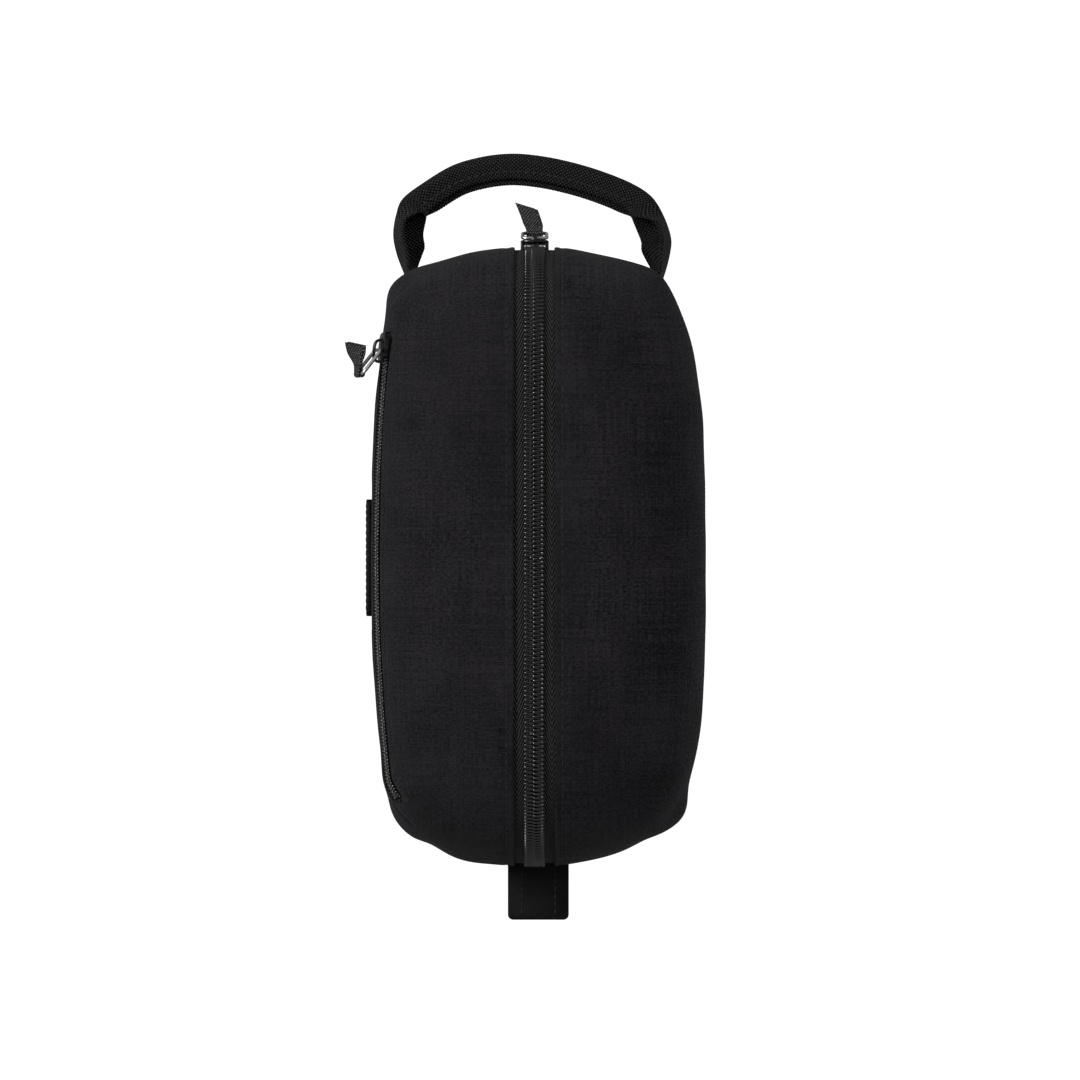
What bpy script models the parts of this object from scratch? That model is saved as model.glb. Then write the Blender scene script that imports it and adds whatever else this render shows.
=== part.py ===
"""A shaving kit bag: a boxed fabric bag with a zip over its top, a zipped front pocket, a webbing handle and a tab.

+X runs along the bag, from the handle at -X to the tab at +X. The pocket faces -Y, and +Z is up. The origin is at
the middle of the base, under the main zip. Sizes are in millimetres, and MM turns them into Blender's metres.
Fabric layers are named by their inset, the depth below the outer surface of the bag.
"""

import math

import bmesh
import bpy
from mathutils import Matrix, Vector

MM = 0.001
GAP = 0.3  # between pieces that touch
FAR = 220.0  # past the bag on any side

# The body
HEIGHT = 118.0
END = 127.5  # from the middle to each end
FRONT_HALF = 67.0
BACK_HALF = 69.5
SIDE_TAPER = 0.35  # share of the half width that is lost towards each end
PLAN_POWER = 36  # how square the plan is at its corners
HANDLE_END_RADIUS = 131.0
TAB_END_RADIUS = 109.0
HANDLE_ROUND = 47.0  # the top edge over the handle end
TAB_ROUND = 58.0
SIDE_ROUND_OUT = 46.0
SIDE_ROUND_DOWN = 40.0
BASE_ROUND = 16.0
SIDE_TUCK = 6.0
END_TUCK = 4.0
TUCK_TOP = 55.0

# Seams and openings
CORNER_SLOPE = 0.445  # the seams between ends and sides stand on |y| = slope * |x|
BASE_SEAM = 12.0
END_SEAM = 50.0
SLOT_HALF = 8.1
FLAP_HALF = 69.0
HINGE_Y = 44.0
HINGE_Z = {"front": 112.8, "back": 114.0}  # on the outer surface
POCKET_TOP = 85.0
TOP_PANEL_FOOT = 94.5
POCKET_MOUTH = (-70.0, 78.0)
POCKET_ZIP_SPAN = (-91.0, 98.0)

# Layers, as insets
FABRIC = (0.0, 1.5)
BINDING = (1.9, 3.0)
POCKET_BACKING = (2.6, 3.2)
LINING = (4.2, 5.1)
POCKET_DEPTH = 5.5

# Handle and tab
WEB_WIDTH = 25.4
WEB_THICK = 1.8
WEB_Z = 56.0
HANDLE_AXIS_X = -131.0
TAB_AXIS_X = 130.0
TAB_TIP_X = 151.0
TAB_THICK = 3.6
TAB_SIDES = (-11.2, 14.2)

# Zips: (half width of the slot between the coils, outer edge of the coil, edge of the tape)
MAIN_ZIP = {"middle": 0.65, "coil": 4.0, "tape": 11.0, "coil_top": 0.3, "coil_foot": -2.4, "tape_h": (-3.1, -2.6)}
POCKET_ZIP = {"middle": 0.6, "coil": 3.0, "tape": 4.1, "coil_top": 0.2, "coil_foot": -1.7, "tape_h": (-2.3, -1.9)}
POCKET_ZIP_Z = 90.0
POCKET_ZIP_TILT = math.radians(19)
POCKET_ZIP_RADIUS = 850.0
POCKET_ZIP_CENTRE_Y = 785.7
POCKET_SLIDER_X = -85.0
MAIN_SLIDER_Z = HEIGHT - HANDLE_ROUND
HANDLE_STOP_Z = (58.7, 61.7)
TAB_STOP_Z = (55.0, 59.0)
TAPE_FOOT_Z = 52.4
ARC_STEPS = 10


def smooth(t):
    t = min(max(t, 0.0), 1.0)
    return t * t * (3 - 2 * t)


# ---------------------------------------------------------------- scene helpers


def clear_scene():
    for obj in list(bpy.data.objects):
        bpy.data.objects.remove(obj, do_unlink=True)


def material(name, colour, roughness, metallic=0.0):
    made = bpy.data.materials.new(name)
    made.use_nodes = True
    shader = made.node_tree.nodes["Principled BSDF"]
    shader.inputs["Base Color"].default_value = (*colour, 1.0)
    shader.inputs["Roughness"].default_value = roughness
    shader.inputs["Metallic"].default_value = metallic
    return made


def new_object(name, mesh, finish=None, axis=None):
    """The object in world coordinates, under the empty on its joint's axis where it has one."""
    obj = bpy.data.objects.new(name, mesh)
    bpy.context.scene.collection.objects.link(obj)
    if finish:
        mesh.materials.append(finish)
    if axis:
        obj.parent = axis
        obj.matrix_parent_inverse = Matrix.Translation(axis.location).inverted()
    return obj


def joint_axis(name, x, y, z):
    empty = bpy.data.objects.new(name, None)
    empty.empty_display_size = 0.01
    empty.location = Vector((x, y, z)) * MM
    bpy.context.scene.collection.objects.link(empty)
    return empty


def mesh_of(name, points, faces, face_out=True):
    """A mesh from points in millimetres."""
    bm = bmesh.new()
    made = [bm.verts.new(Vector(p) * MM) for p in points]
    for face in faces:
        bm.faces.new([made[i] for i in face])
    if face_out:
        bmesh.ops.recalc_face_normals(bm, faces=bm.faces)
    mesh = bpy.data.meshes.new(name)
    bm.to_mesh(mesh)
    bm.free()
    return mesh


def smooth_shaded(obj, degrees=35):
    obj.data.shade_smooth()
    obj.data.set_sharp_from_angle(angle=math.radians(degrees))
    return obj


def helper(obj):
    obj.hide_render = True
    obj.display_type = "WIRE"
    return obj


def boolean(obj, other, operation):
    modifier = obj.modifiers.new(operation.lower(), "BOOLEAN")
    modifier.object = other
    modifier.operation = operation
    modifier.solver = "EXACT"


def prism_faces(count):
    """The faces of a prism whose points are its first outline and then its second."""
    sides = [(i, (i + 1) % count, count + (i + 1) % count, count + i) for i in range(count)]
    return sides + [tuple(range(count)), tuple(range(count, 2 * count))]


def prism_mesh(name, axis, outline, low, high):
    """The outline, in the two coordinates other than axis and in X, Y, Z order, from low to high along axis."""
    place = {
        "X": lambda a, b, t: (t, a, b),
        "Y": lambda a, b, t: (a, t, b),
        "Z": lambda a, b, t: (a, b, t),
    }[axis]
    points = [place(a, b, t) for t in (low, high) for a, b in outline]
    return mesh_of(name, points, prism_faces(len(outline)))


def cutter(name, axis, outline, low, high):
    return helper(new_object(name, prism_mesh(name, axis, outline, low, high)))


def box_cutter(name, x, y, z):
    corners = ((x[0], y[0]), (x[1], y[0]), (x[1], y[1]), (x[0], y[1]))
    return cutter(name, "Z", corners, z[0], z[1])


def sweep_mesh(name, stations, section, closed=False):
    """A section of (across, out) points carried along stations of (origin, across, out)."""
    count = len(section)
    points = [o + a * u + b * v for o, a, b in stations for u, v in section]
    faces = []
    spans = len(stations) if closed else len(stations) - 1
    for i in range(spans):
        here, there = i * count, (i + 1) % len(stations) * count
        faces += [(here + k, here + (k + 1) % count, there + (k + 1) % count, there + k) for k in range(count)]
    if not closed:
        last = (len(stations) - 1) * count
        faces += [tuple(range(count)), tuple(range(last, last + count))]
    return mesh_of(name, points, faces)


# ---------------------------------------------------------------- the body's surface


def plan_radius(azimuth, inset):
    """From the body's axis to its widest outline."""
    cos, sin = math.cos(azimuth), math.sin(azimuth)
    low, high = 0.0, 2 * END
    for _ in range(40):
        r = (low + high) / 2
        x, y = abs(r * cos), abs(r * sin)
        end_radius = HANDLE_END_RADIUS if cos < 0 else TAB_END_RADIUS
        half = FRONT_HALF if sin < 0 else BACK_HALF
        end = max(END - y * y / (2 * end_radius) - inset, 1.0)
        side = max(half * (1 - SIDE_TAPER * (x / END) ** 4) - inset, 1.0)
        inside = (y / side) ** PLAN_POWER + (x / end) ** PLAN_POWER < 1
        low, high = (r, high) if inside else (low, r)
    return low


def pocket_depth(x, z):
    along = smooth((112 - abs(x)) / 16)
    up = smooth((z - 18) / 16) * (1 - smooth((z - 92) / 14))
    return POCKET_DEPTH * along * up


def profile(azimuth, inset, arc_steps, wall_steps):
    """(radius, z) of the body's surface from the middle of the base to the middle of the top."""
    cos = math.cos(azimuth)
    endness = smooth((abs(cos) - 0.77) / 0.2)
    end_round = HANDLE_ROUND if cos < 0 else TAB_ROUND
    out = SIDE_ROUND_OUT + (end_round - SIDE_ROUND_OUT) * endness - inset
    down = SIDE_ROUND_DOWN + (end_round - SIDE_ROUND_DOWN) * endness - inset
    tuck = SIDE_TUCK + (END_TUCK - SIDE_TUCK) * endness
    corner = BASE_ROUND - inset

    def tucked(z):
        return tuck * (1 - min(z / TUCK_TOP, 1)) ** 2

    shoulder = HEIGHT - inset - down
    rows = []  # (how far inside the widest outline, z)
    for i in range(5):
        turn = math.radians(90 * i / 4)
        z = inset + corner * (1 - math.cos(turn))
        rows.append((tucked(z) + corner * (1 - math.sin(turn)), z))
    for i in range(1, wall_steps + 1):
        z = BASE_ROUND + (shoulder - BASE_ROUND) * i / wall_steps
        rows.append((tucked(z), z))
    for i in range(1, arc_steps + 1):
        turn = math.radians(90 * i / arc_steps)
        rows.append((out * (1 - math.cos(turn)), shoulder + down * math.sin(turn)))
    rows = [(plan_radius(azimuth, inset + inside), z) for inside, z in rows]
    return [(0.0, inset), (0.55 * rows[0][0], inset)] + rows + [(0.0, HEIGHT - inset)]


def azimuths(quadrant):
    """Angles round the whole body from those of one quadrant, which starts at 0 and stays under 90."""
    turns = set()
    for angle in quadrant:
        turns |= {angle, 180 - angle, (180 + angle) % 360, (360 - angle) % 360}
    return [math.radians(a) for a in sorted(turns | {90, 270})]


FINE = azimuths((0, 6, 12, 17, 20, 22, 24, 26, 29, 34, 41, 51, 63, 76))
COARSE = azimuths((0, 9, 16, 20, 23, 26, 31, 39, 52, 68))


def surface(turns, inset, arc_steps, wall_steps, pocketed):
    """Points and faces of the closed surface at an inset, faces out. The front is pushed in by the pocket's depth."""
    rings = []
    for azimuth in turns:
        ring = []
        for r, z in profile(azimuth, inset, arc_steps, wall_steps):
            x, y = r * math.cos(azimuth), r * math.sin(azimuth)
            if pocketed and y < -CORNER_SLOPE * abs(x):
                y += pocket_depth(x, z) * smooth((abs(y) - 0.6 * FRONT_HALF) / 10)
            ring.append((x, y, z))
        rings.append(ring)
    rows, count = len(rings[0]), len(turns)
    points = [rings[0][0], rings[0][-1]]
    points += [ring[i] for i in range(1, rows - 1) for ring in rings]

    def at(i, j):
        return 2 + (i - 1) * count + j % count

    faces = [(0, at(1, j + 1), at(1, j)) for j in range(count)]
    faces += [(1, at(rows - 2, j), at(rows - 2, j + 1)) for j in range(count)]
    for i in range(1, rows - 2):
        for j in range(count):
            faces.append((at(i, j), at(i, j + 1), at(i + 1, j + 1)))
            faces.append((at(i, j), at(i + 1, j + 1), at(i + 1, j)))
    return points, faces


def skin(name, insets, turns, arc_steps, wall_steps, pocketed=False):
    """A hollow skin between two insets, from which panels are cut."""
    points, faces = surface(turns, insets[0], arc_steps, wall_steps, pocketed)
    inner, inner_faces = surface(turns, insets[1], arc_steps, wall_steps, pocketed)
    shift = len(points)
    faces += [tuple(shift + i for i in reversed(face)) for face in inner_faces]
    return mesh_of(name, points + inner, faces, face_out=False)


def panel(name, skin_mesh, finish, keep, remove=(), axis=None):
    obj = new_object(name, skin_mesh.copy(), finish, axis)
    for region in keep:
        boolean(obj, region, "INTERSECT")
    for region in remove:
        boolean(obj, region, "DIFFERENCE")
    return smooth_shaded(obj)


# ---------------------------------------------------------------- regions that cut the skins


def end_wedge(name, sign, low, high, grow):
    """The region between the two corner seams of one end."""
    tip = -grow / math.sin(math.atan(CORNER_SLOPE))
    reach = CORNER_SLOPE * (FAR - tip)
    return cutter(name, "Z", ((sign * tip, 0), (sign * FAR, reach), (sign * FAR, -reach)), low, high)


def front_zone(name, low, high, grow):
    """The region in front of the two front corner seams."""
    tip = grow / math.cos(math.atan(CORNER_SLOPE))
    reach = tip - CORNER_SLOPE * FAR
    outline = ((0, tip), (-FAR, reach), (-FAR, -FAR), (FAR, -FAR), (FAR, reach))
    return cutter(name, "Z", outline, low, high)


def build_regions():
    half = GAP / 2
    wide = (-FAR, FAR)
    inside = (-FLAP_HALF + half, FLAP_HALF - half)
    outside = (-FLAP_HALF - half, FLAP_HALF + half)
    regions = {
        "base": box_cutter("region_base", wide, wide, (-FAR, BASE_SEAM - half)),
        "back": box_cutter("region_back", wide, (SLOT_HALF, FAR), (BASE_SEAM + half, FAR)),
        "front": box_cutter("region_front", wide, (-FAR, -SLOT_HALF), (END_SEAM + half, FAR)),
        "both_ends": (
            end_wedge("region_handle_end_below", -1, -FAR, END_SEAM + half, half),
            end_wedge("region_tab_end_below", 1, -FAR, END_SEAM + half, half),
        ),
        "handle_end": end_wedge("region_handle_end", -1, BASE_SEAM + half, END_SEAM - half, -half),
        "tab_end": end_wedge("region_tab_end", 1, BASE_SEAM + half, END_SEAM - half, -half),
        "back_flap": box_cutter("region_back_flap", inside, (SLOT_HALF, HINGE_Y - half), (90, FAR)),
        "front_flap": box_cutter("region_front_flap", inside, (half - HINGE_Y, -SLOT_HALF), (90, FAR)),
        "back_hole": box_cutter("region_back_hole", outside, (-1, HINGE_Y + half), (90, FAR)),
        "front_hole": box_cutter("region_front_hole", outside, (-HINGE_Y - half, 1), (90, FAR)),
        "pocket": front_zone("region_pocket", BASE_SEAM + half, POCKET_TOP - half, -half),
        "above_pocket": front_zone("region_above_pocket", -FAR, POCKET_TOP + half, half),
        "zip_notch": box_cutter("region_zip_notch", POCKET_ZIP_SPAN, (-FAR, -45), (80, TOP_PANEL_FOOT)),
    }
    mouth = POCKET_MOUTH
    for name, x in (
        ("pocket_middle", (mouth[0] + half, mouth[1] - half)),
        ("pocket_handle_side", (-FAR, mouth[0] - half)),
        ("pocket_tab_side", (mouth[1] + half, FAR)),
    ):
        regions[name] = box_cutter("region_" + name, x, (-FAR, 0), (0, FAR))
    return regions


# ---------------------------------------------------------------- panels


def build_panels(regions, finishes, axes):
    fabric = skin("fabric_skin", FABRIC, FINE, 8, 4)
    cloth = finishes["fabric"]
    r = regions
    panel("base_panel", fabric, cloth, [r["base"]])
    panel("handle_end_lower_panel", fabric, cloth, [r["handle_end"]])
    panel("tab_end_lower_panel", fabric, cloth, [r["tab_end"]])
    panel("back_panel", fabric, cloth, [r["back"]], [*r["both_ends"], r["back_hole"]])
    front_cuts = [r["front_hole"], r["above_pocket"], r["zip_notch"]]
    panel("front_top_panel", fabric, cloth, [r["front"]], front_cuts)
    panel("back_mouth_panel", fabric, cloth, [r["back_flap"]], axis=axes["back_mouth"])
    panel("front_mouth_panel", fabric, cloth, [r["front_flap"]], axis=axes["front_mouth"])
    pocket = [r["pocket"]]
    panel("pocket_panel", fabric, cloth, [*pocket, r["pocket_middle"]], axis=axes["pocket_mouth"])
    panel("pocket_panel_handle_side", fabric, cloth, [*pocket, r["pocket_handle_side"]])
    panel("pocket_panel_tab_side", fabric, cloth, [*pocket, r["pocket_tab_side"]])


def build_lining(regions, finishes, axes):
    lining = skin("lining_skin", LINING, COARSE, 6, 4, pocketed=True)
    satin = finishes["lining"]
    slot = cutter("region_lining_slot", "X", ((-12.5, 44), (12.5, 44), (12.5, FAR), (-12.5, FAR)), -FAR, FAR)
    panel("lining", lining, satin, [], [slot, regions["back_hole"], regions["front_hole"]])
    for side, sign in (("front", -1), ("back", 1)):
        reach = (sign * 12.5, sign * (HINGE_Y - GAP / 2))
        x = (-FLAP_HALF + GAP / 2, FLAP_HALF - GAP / 2)
        region = box_cutter(f"region_{side}_mouth_lining", x, sorted(reach), (90, FAR))
        panel(f"{side}_mouth_lining", lining, satin, [region], axis=axes[f"{side}_mouth"])


def build_inner_pieces(regions, finishes):
    backing = skin("backing_skin", POCKET_BACKING, COARSE, 6, 4, pocketed=True)
    reach = CORNER_SLOPE * FAR
    outline = ((0, -4), (-FAR, -reach - 4), (-FAR, -FAR), (FAR, -FAR), (FAR, -reach - 4))
    zone = cutter("region_backing", "Z", outline, 15.5, 106)
    panel("pocket_backing", backing, finishes["lining"], [zone])
    binding = skin("binding_skin", BINDING, COARSE, 6, 4)
    for name, sign in (("handle_end_binding", -1), ("tab_end_binding", 1)):
        region = end_wedge("region_" + name, sign, END_SEAM - 6, END_SEAM + 1.5, -1.0)
        panel(name, binding, finishes["webbing"], [region])
    board_low, board_high = 2.0, 3.1
    outline = []
    for azimuth in COARSE:
        r = plan_radius(azimuth, SIDE_TUCK + BASE_ROUND + 2)
        outline.append((r * math.cos(azimuth), r * math.sin(azimuth)))
    mesh = prism_mesh("base_board", "Z", outline, board_low, board_high)
    new_object("base_board", mesh, finishes["board"])


# ---------------------------------------------------------------- the main zip


def handle_end_path(foot):
    """(x, z, turn) along the outer surface under the main zip, turn being the outward normal's angle in degrees."""
    stations = [(-END, foot, 180)]
    for i in range(ARC_STEPS + 1):
        turn = 180 - 90 * i / ARC_STEPS
        x = -END + HANDLE_ROUND * (1 + math.cos(math.radians(turn)))
        stations.append((x, MAIN_SLIDER_Z + HANDLE_ROUND * math.sin(math.radians(turn)), turn))
    return stations + [(-FLAP_HALF - GAP / 2, HEIGHT, 90)]


def tab_end_path(foot):
    stations = []
    for i in range(ARC_STEPS + 1):
        turn = 90 - 90 * i / ARC_STEPS
        x = END - TAB_ROUND + TAB_ROUND * math.cos(math.radians(turn))
        stations.append((x, HEIGHT - TAB_ROUND + TAB_ROUND * math.sin(math.radians(turn)), turn))
    return stations + [(END, foot, 0)]


def mouth_path():
    return [(x, HEIGHT, 90) for x in (-FLAP_HALF + GAP / 2, FLAP_HALF - GAP / 2)]


def main_frames(path):
    frames = []
    for x, z, turn in path:
        out = Vector((math.cos(math.radians(turn)), 0, math.sin(math.radians(turn))))
        frames.append((Vector((x, 0, z)), Vector((0, 1, 0)), out))
    return frames


def rectangle(a0, a1, h0, h1):
    return ((a0, h0), (a1, h0), (a1, h1), (a0, h1))


def coil_section(zipper, sign):
    """A coil half, rounded on top."""
    inner, outer = sign * zipper["middle"], sign * zipper["coil"]
    foot, top = zipper["coil_foot"], zipper["coil_top"]
    ease = 0.3 * (outer - inner)
    return ((inner, foot), (outer, foot), (outer, top - 0.8), (outer - ease, top), (inner, top))


def tape_section(zipper, sign):
    low, high = zipper["tape_h"]
    return rectangle(sign * zipper["middle"], sign * zipper["tape"], low, high)


def build_main_zip(finishes, axes):
    stretches = (  # (name, path of the coil, path of the tape)
        ("handle_end", handle_end_path(HANDLE_STOP_Z[1] + GAP), handle_end_path(TAPE_FOOT_Z)),
        ("tab_end", tab_end_path(TAB_STOP_Z[1] + GAP), tab_end_path(TAPE_FOOT_Z)),
        ("mouth", mouth_path(), mouth_path()),
    )
    for side, sign in (("front", -1), ("back", 1)):
        for stretch, coil_path, tape_path in stretches:
            axis = axes[f"{side}_mouth"] if stretch == "mouth" else None
            for kind, path, section in (
                ("coil", coil_path, coil_section(MAIN_ZIP, sign)),
                ("tape", tape_path, tape_section(MAIN_ZIP, sign)),
            ):
                name = f"main_{kind}_{side}_{stretch}"
                mesh = sweep_mesh(name, main_frames(path), section)
                smooth_shaded(new_object(name, mesh, finishes[kind], axis), 30)
    stop = rectangle(-3.4, 3.4, -2.3, 0.6)
    for name, x, z, turn in (
        ("handle_end_stop", -END, HANDLE_STOP_Z, 180),
        ("tab_end_stop", END, TAB_STOP_Z, 0),
    ):
        mesh = sweep_mesh(name, main_frames([(x, z[0], turn), (x, z[1], turn)]), stop)
        new_object("main_" + name, mesh, finishes["metal"])


# ---------------------------------------------------------------- the pocket zip


def pocket_frame(x):
    """The station of the pocket zip at x: its point on the surface, its across direction (up) and its normal (out)."""
    along = math.asin(x / POCKET_ZIP_RADIUS)
    out = Vector((math.sin(along), -math.cos(along), 0))
    origin = Vector((0, POCKET_ZIP_CENTRE_Y, POCKET_ZIP_Z)) + out * POCKET_ZIP_RADIUS
    up = Vector((0, 0, 1))
    cos, sin = math.cos(POCKET_ZIP_TILT), math.sin(POCKET_ZIP_TILT)
    return origin, up * cos - out * sin, out * cos + up * sin


def spread(low, high, pieces):
    return [low + (high - low) * i / pieces for i in range(pieces + 1)]


def build_pocket_zip(finishes, axes):
    half = GAP / 2
    low, high = POCKET_ZIP_SPAN[0] + 1, POCKET_ZIP_SPAN[1] - 1
    spans = (
        ("upper", 1, low, high, 10, None),
        ("lower_handle_end", -1, low, POCKET_MOUTH[0] - half, 2, None),
        ("lower_tab_end", -1, POCKET_MOUTH[1] + half, high, 2, None),
        ("lower_mouth", -1, POCKET_MOUTH[0] + half, POCKET_MOUTH[1] - half, 8, axes["pocket_mouth"]),
    )
    for label, sign, start, stop, pieces, axis in spans:
        frames = [pocket_frame(x) for x in spread(start, stop, pieces)]
        for kind, section in (
            ("coil", coil_section(POCKET_ZIP, sign)),
            ("tape", tape_section(POCKET_ZIP, sign)),
        ):
            name = f"pocket_{kind}_{label}"
            mesh = sweep_mesh(name, frames, section)
            smooth_shaded(new_object(name, mesh, finishes[kind], axis), 30)


# ---------------------------------------------------------------- sliders and pulls


class Slider:
    """The sizes of a slider, in its own frame: along the zip, across it and out from the bag."""

    def __init__(self, zipper, scale, ribbon_length):
        self.half_length = 7.5 * scale
        self.inner = zipper["coil"] + 0.8 * scale
        self.outer = self.inner + 1.0 * scale
        self.plate = (zipper["coil_top"] + 0.9, zipper["coil_top"] + 0.9 + 1.2 * scale)
        self.flange_foot = zipper["tape_h"][1] + 0.5
        self.lower = (zipper["tape_h"][0] - 0.9 - 1.1 * scale, zipper["tape_h"][0] - 0.9)
        self.post = (zipper["middle"] - GAP, 2.0 * scale)
        self.bail_half = 1.0
        self.bail_length = 5.2 * scale
        self.bail_height = 3.4
        self.bail_wall = 1.15
        self.wire = 0.75
        self.pivot = (1.6 * scale, self.plate[1] + 0.35 + self.wire)
        self.ring_length = 12.5
        self.ring_half_width = 5.0
        self.ribbon_half = 4.0
        self.ribbon_length = ribbon_length


def placed(frame, along, across, out):
    """A point of a slider's frame in the bag's frame."""
    origin, t, b, n = frame
    return origin + t * along + b * across + n * out


def framed_prism(name, frame, outline, low, high):
    """An (along, out) outline from low to high across the zip."""
    points = [placed(frame, t, side, n) for side in (low, high) for t, n in outline]
    return mesh_of(name, points, prism_faces(len(outline)))


def build_slider(name, frame, size, finish, axis):
    """The body: a plate with flanges over the coils, a post between them, a plate under them and a bail on top."""
    length = size.half_length
    shoulder = 0.45 * length

    def plate(label, low, high, reach):
        """A plate with its four corners cut, between two heights."""
        narrow = 0.72 * reach
        outline = (
            (-length, -narrow), (-shoulder, -reach), (shoulder, -reach), (length, -narrow),
            (length, narrow), (shoulder, reach), (-shoulder, reach), (-length, narrow),
        )
        points = [placed(frame, t, a, h) for h in (low, high) for t, a in outline]
        return mesh_of(label, points, prism_faces(len(outline)))

    body = new_object(name, plate(name, *size.plate, size.outer), finish, axis)
    lap = 0.3
    extras = [plate(name + "_lower", *size.lower, size.outer - 0.4)]
    post = rectangle(-size.post[1], size.post[1], size.lower[1] - lap, size.plate[0] + lap)
    extras.append(framed_prism(name + "_post", frame, post, -size.post[0], size.post[0]))
    flange = rectangle(-shoulder, shoulder, size.flange_foot, size.plate[1] - lap)
    for sign in (-1, 1):
        sides = sorted((sign * size.inner, sign * (size.outer - 0.05)))
        extras.append(framed_prism(f"{name}_flange", frame, flange, *sides))
    foot = size.plate[1] - lap
    top = size.plate[1] + size.bail_height
    reach, wall = size.bail_length, size.bail_wall
    arch = (
        (-reach, foot), (-reach, top - wall), (-reach + wall, top), (reach - wall, top), (reach, top - wall),
        (reach, foot), (reach - wall, foot), (reach - wall, top - wall), (wall - reach, top - wall),
        (wall - reach, foot),
    )
    extras.append(framed_prism(name + "_bail", frame, arch, -size.bail_half, size.bail_half))
    for mesh in extras:
        boolean(body, helper(new_object(mesh.name, mesh)), "UNION")
    return body


def turned(frame, size, angle):
    """The frame of a pull: its origin on the pivot, along it away from the slider, and out of its flat."""
    _, t, b, n = frame
    pivot = placed(frame, size.pivot[0], 0, size.pivot[1])
    turn = math.radians(angle)
    along = t * math.cos(turn) + n * math.sin(turn)
    return pivot, along, b, n * math.cos(turn) - t * math.sin(turn)


def build_ring(name, frame, size, finish, axis):
    """A wire ring: a rounded rectangle from the pivot bar to the far bar."""
    corner = 1.4
    half, length = size.ring_half_width, size.ring_length
    stations = []
    for t, a, start in (
        (length - corner, half - corner, 0),
        (length - corner, corner - half, 270),
        (corner, corner - half, 180),
        (corner, half - corner, 90),
    ):
        for i in range(4):
            turn = math.radians(start + 90 - 30 * i)
            across, along = math.sin(turn), math.cos(turn)
            origin = placed(frame, t + corner * along, a + corner * across, 0)
            stations.append((origin, frame[1] * along + frame[2] * across, frame[3]))
    circle = [(size.wire * math.cos(k * math.pi / 4), size.wire * math.sin(k * math.pi / 4)) for k in range(8)]
    mesh = sweep_mesh(name, stations, circle, closed=True)
    return smooth_shaded(new_object(name, mesh, finish, axis))


def build_ribbon(name, frame, size, finish, axis):
    """A folded ribbon: round the far bar, with its two layers flat together beyond it."""
    inner, thick = size.wire + GAP, 0.7
    outer = inner + thick
    turns = [math.radians(60 + 30 * i) for i in range(9)]
    outline = [(outer * math.cos(a), outer * math.sin(a)) for a in turns]
    outline += [(outer + 1.6, -thick), (size.ribbon_length, -thick), (size.ribbon_length, thick), (outer + 1.6, thick)]
    eye = [(inner * math.cos(math.pi * i / 5), inner * math.sin(math.pi * i / 5)) for i in range(10)]
    mesh = framed_prism(name, frame, outline, -size.ribbon_half, size.ribbon_half)
    body = new_object(name, mesh, finish, axis)
    hole = framed_prism(name + "_eye", frame, eye, -size.ribbon_half - 2, size.ribbon_half + 2)
    boolean(body, helper(new_object(hole.name, hole)), "DIFFERENCE")
    return body


def build_pull(prefix, frame, size, angles, finishes, axes):
    build_slider(f"{prefix}_slider", frame, size, finishes["metal"], axes[f"{prefix}_slider"])
    ring_frame = turned(frame, size, angles[0])
    axes[f"{prefix}_ring"].location = ring_frame[0] * MM
    build_ring(f"{prefix}_pull_ring", ring_frame, size, finishes["metal"], axes[f"{prefix}_ring"])
    far = placed(ring_frame, size.ring_length, 0, 0)
    axes[f"{prefix}_ribbon"].location = far * MM
    turn = math.radians(angles[1])
    along = ring_frame[1] * math.cos(turn) + ring_frame[3] * math.sin(turn)
    out = ring_frame[3] * math.cos(turn) - ring_frame[1] * math.sin(turn)
    ribbon_frame = (far, along, ring_frame[2], out)
    build_ribbon(f"{prefix}_pull_ribbon", ribbon_frame, size, finishes["ribbon"], axes[f"{prefix}_ribbon"])


# ---------------------------------------------------------------- handle, tab and label


HANDLE_ROUTE = (  # the outer edge in plan, from the front seam round to the back seam
    (-108, -48.0), (-117.5, -52), (-125.8, -55.3), (-134, -57.8), (-142.4, -57.4), (-149, -54.9), (-155.2, -47),
    (-162.7, -34.6), (-166.4, -22.2), (-167.8, -9.7), (-166.8, 2.7), (-164.3, 15.1), (-160.6, 27.6), (-155.6, 40),
    (-150.2, 48.3), (-142.8, 53.2), (-133.2, 56.6), (-125.8, 56.2), (-116, 53.5), (-108, 50.0),
)
FOLD_CLOSED = 13.0
FOLD_OPEN = 84.0


def fold_angle(x):
    """Half the angle between the web's two layers: nearly shut on the grip and open at the seams."""
    return FOLD_CLOSED + (FOLD_OPEN - FOLD_CLOSED) * smooth((x + 152) / 26)


def handle_region(name, radius):
    """The space of the part of the web that turns: round its axis, and everything beyond it."""
    steps = 16
    turns = [math.radians(-90 + 180 * i / steps) for i in range(steps + 1)]
    outline = [(HANDLE_AXIS_X + radius * math.cos(a), WEB_Z + radius * math.sin(a)) for a in turns]
    outline += [(-FAR, WEB_Z + radius), (-FAR, WEB_Z - radius)]
    return cutter(name, "Y", outline, -FAR, FAR)


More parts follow.
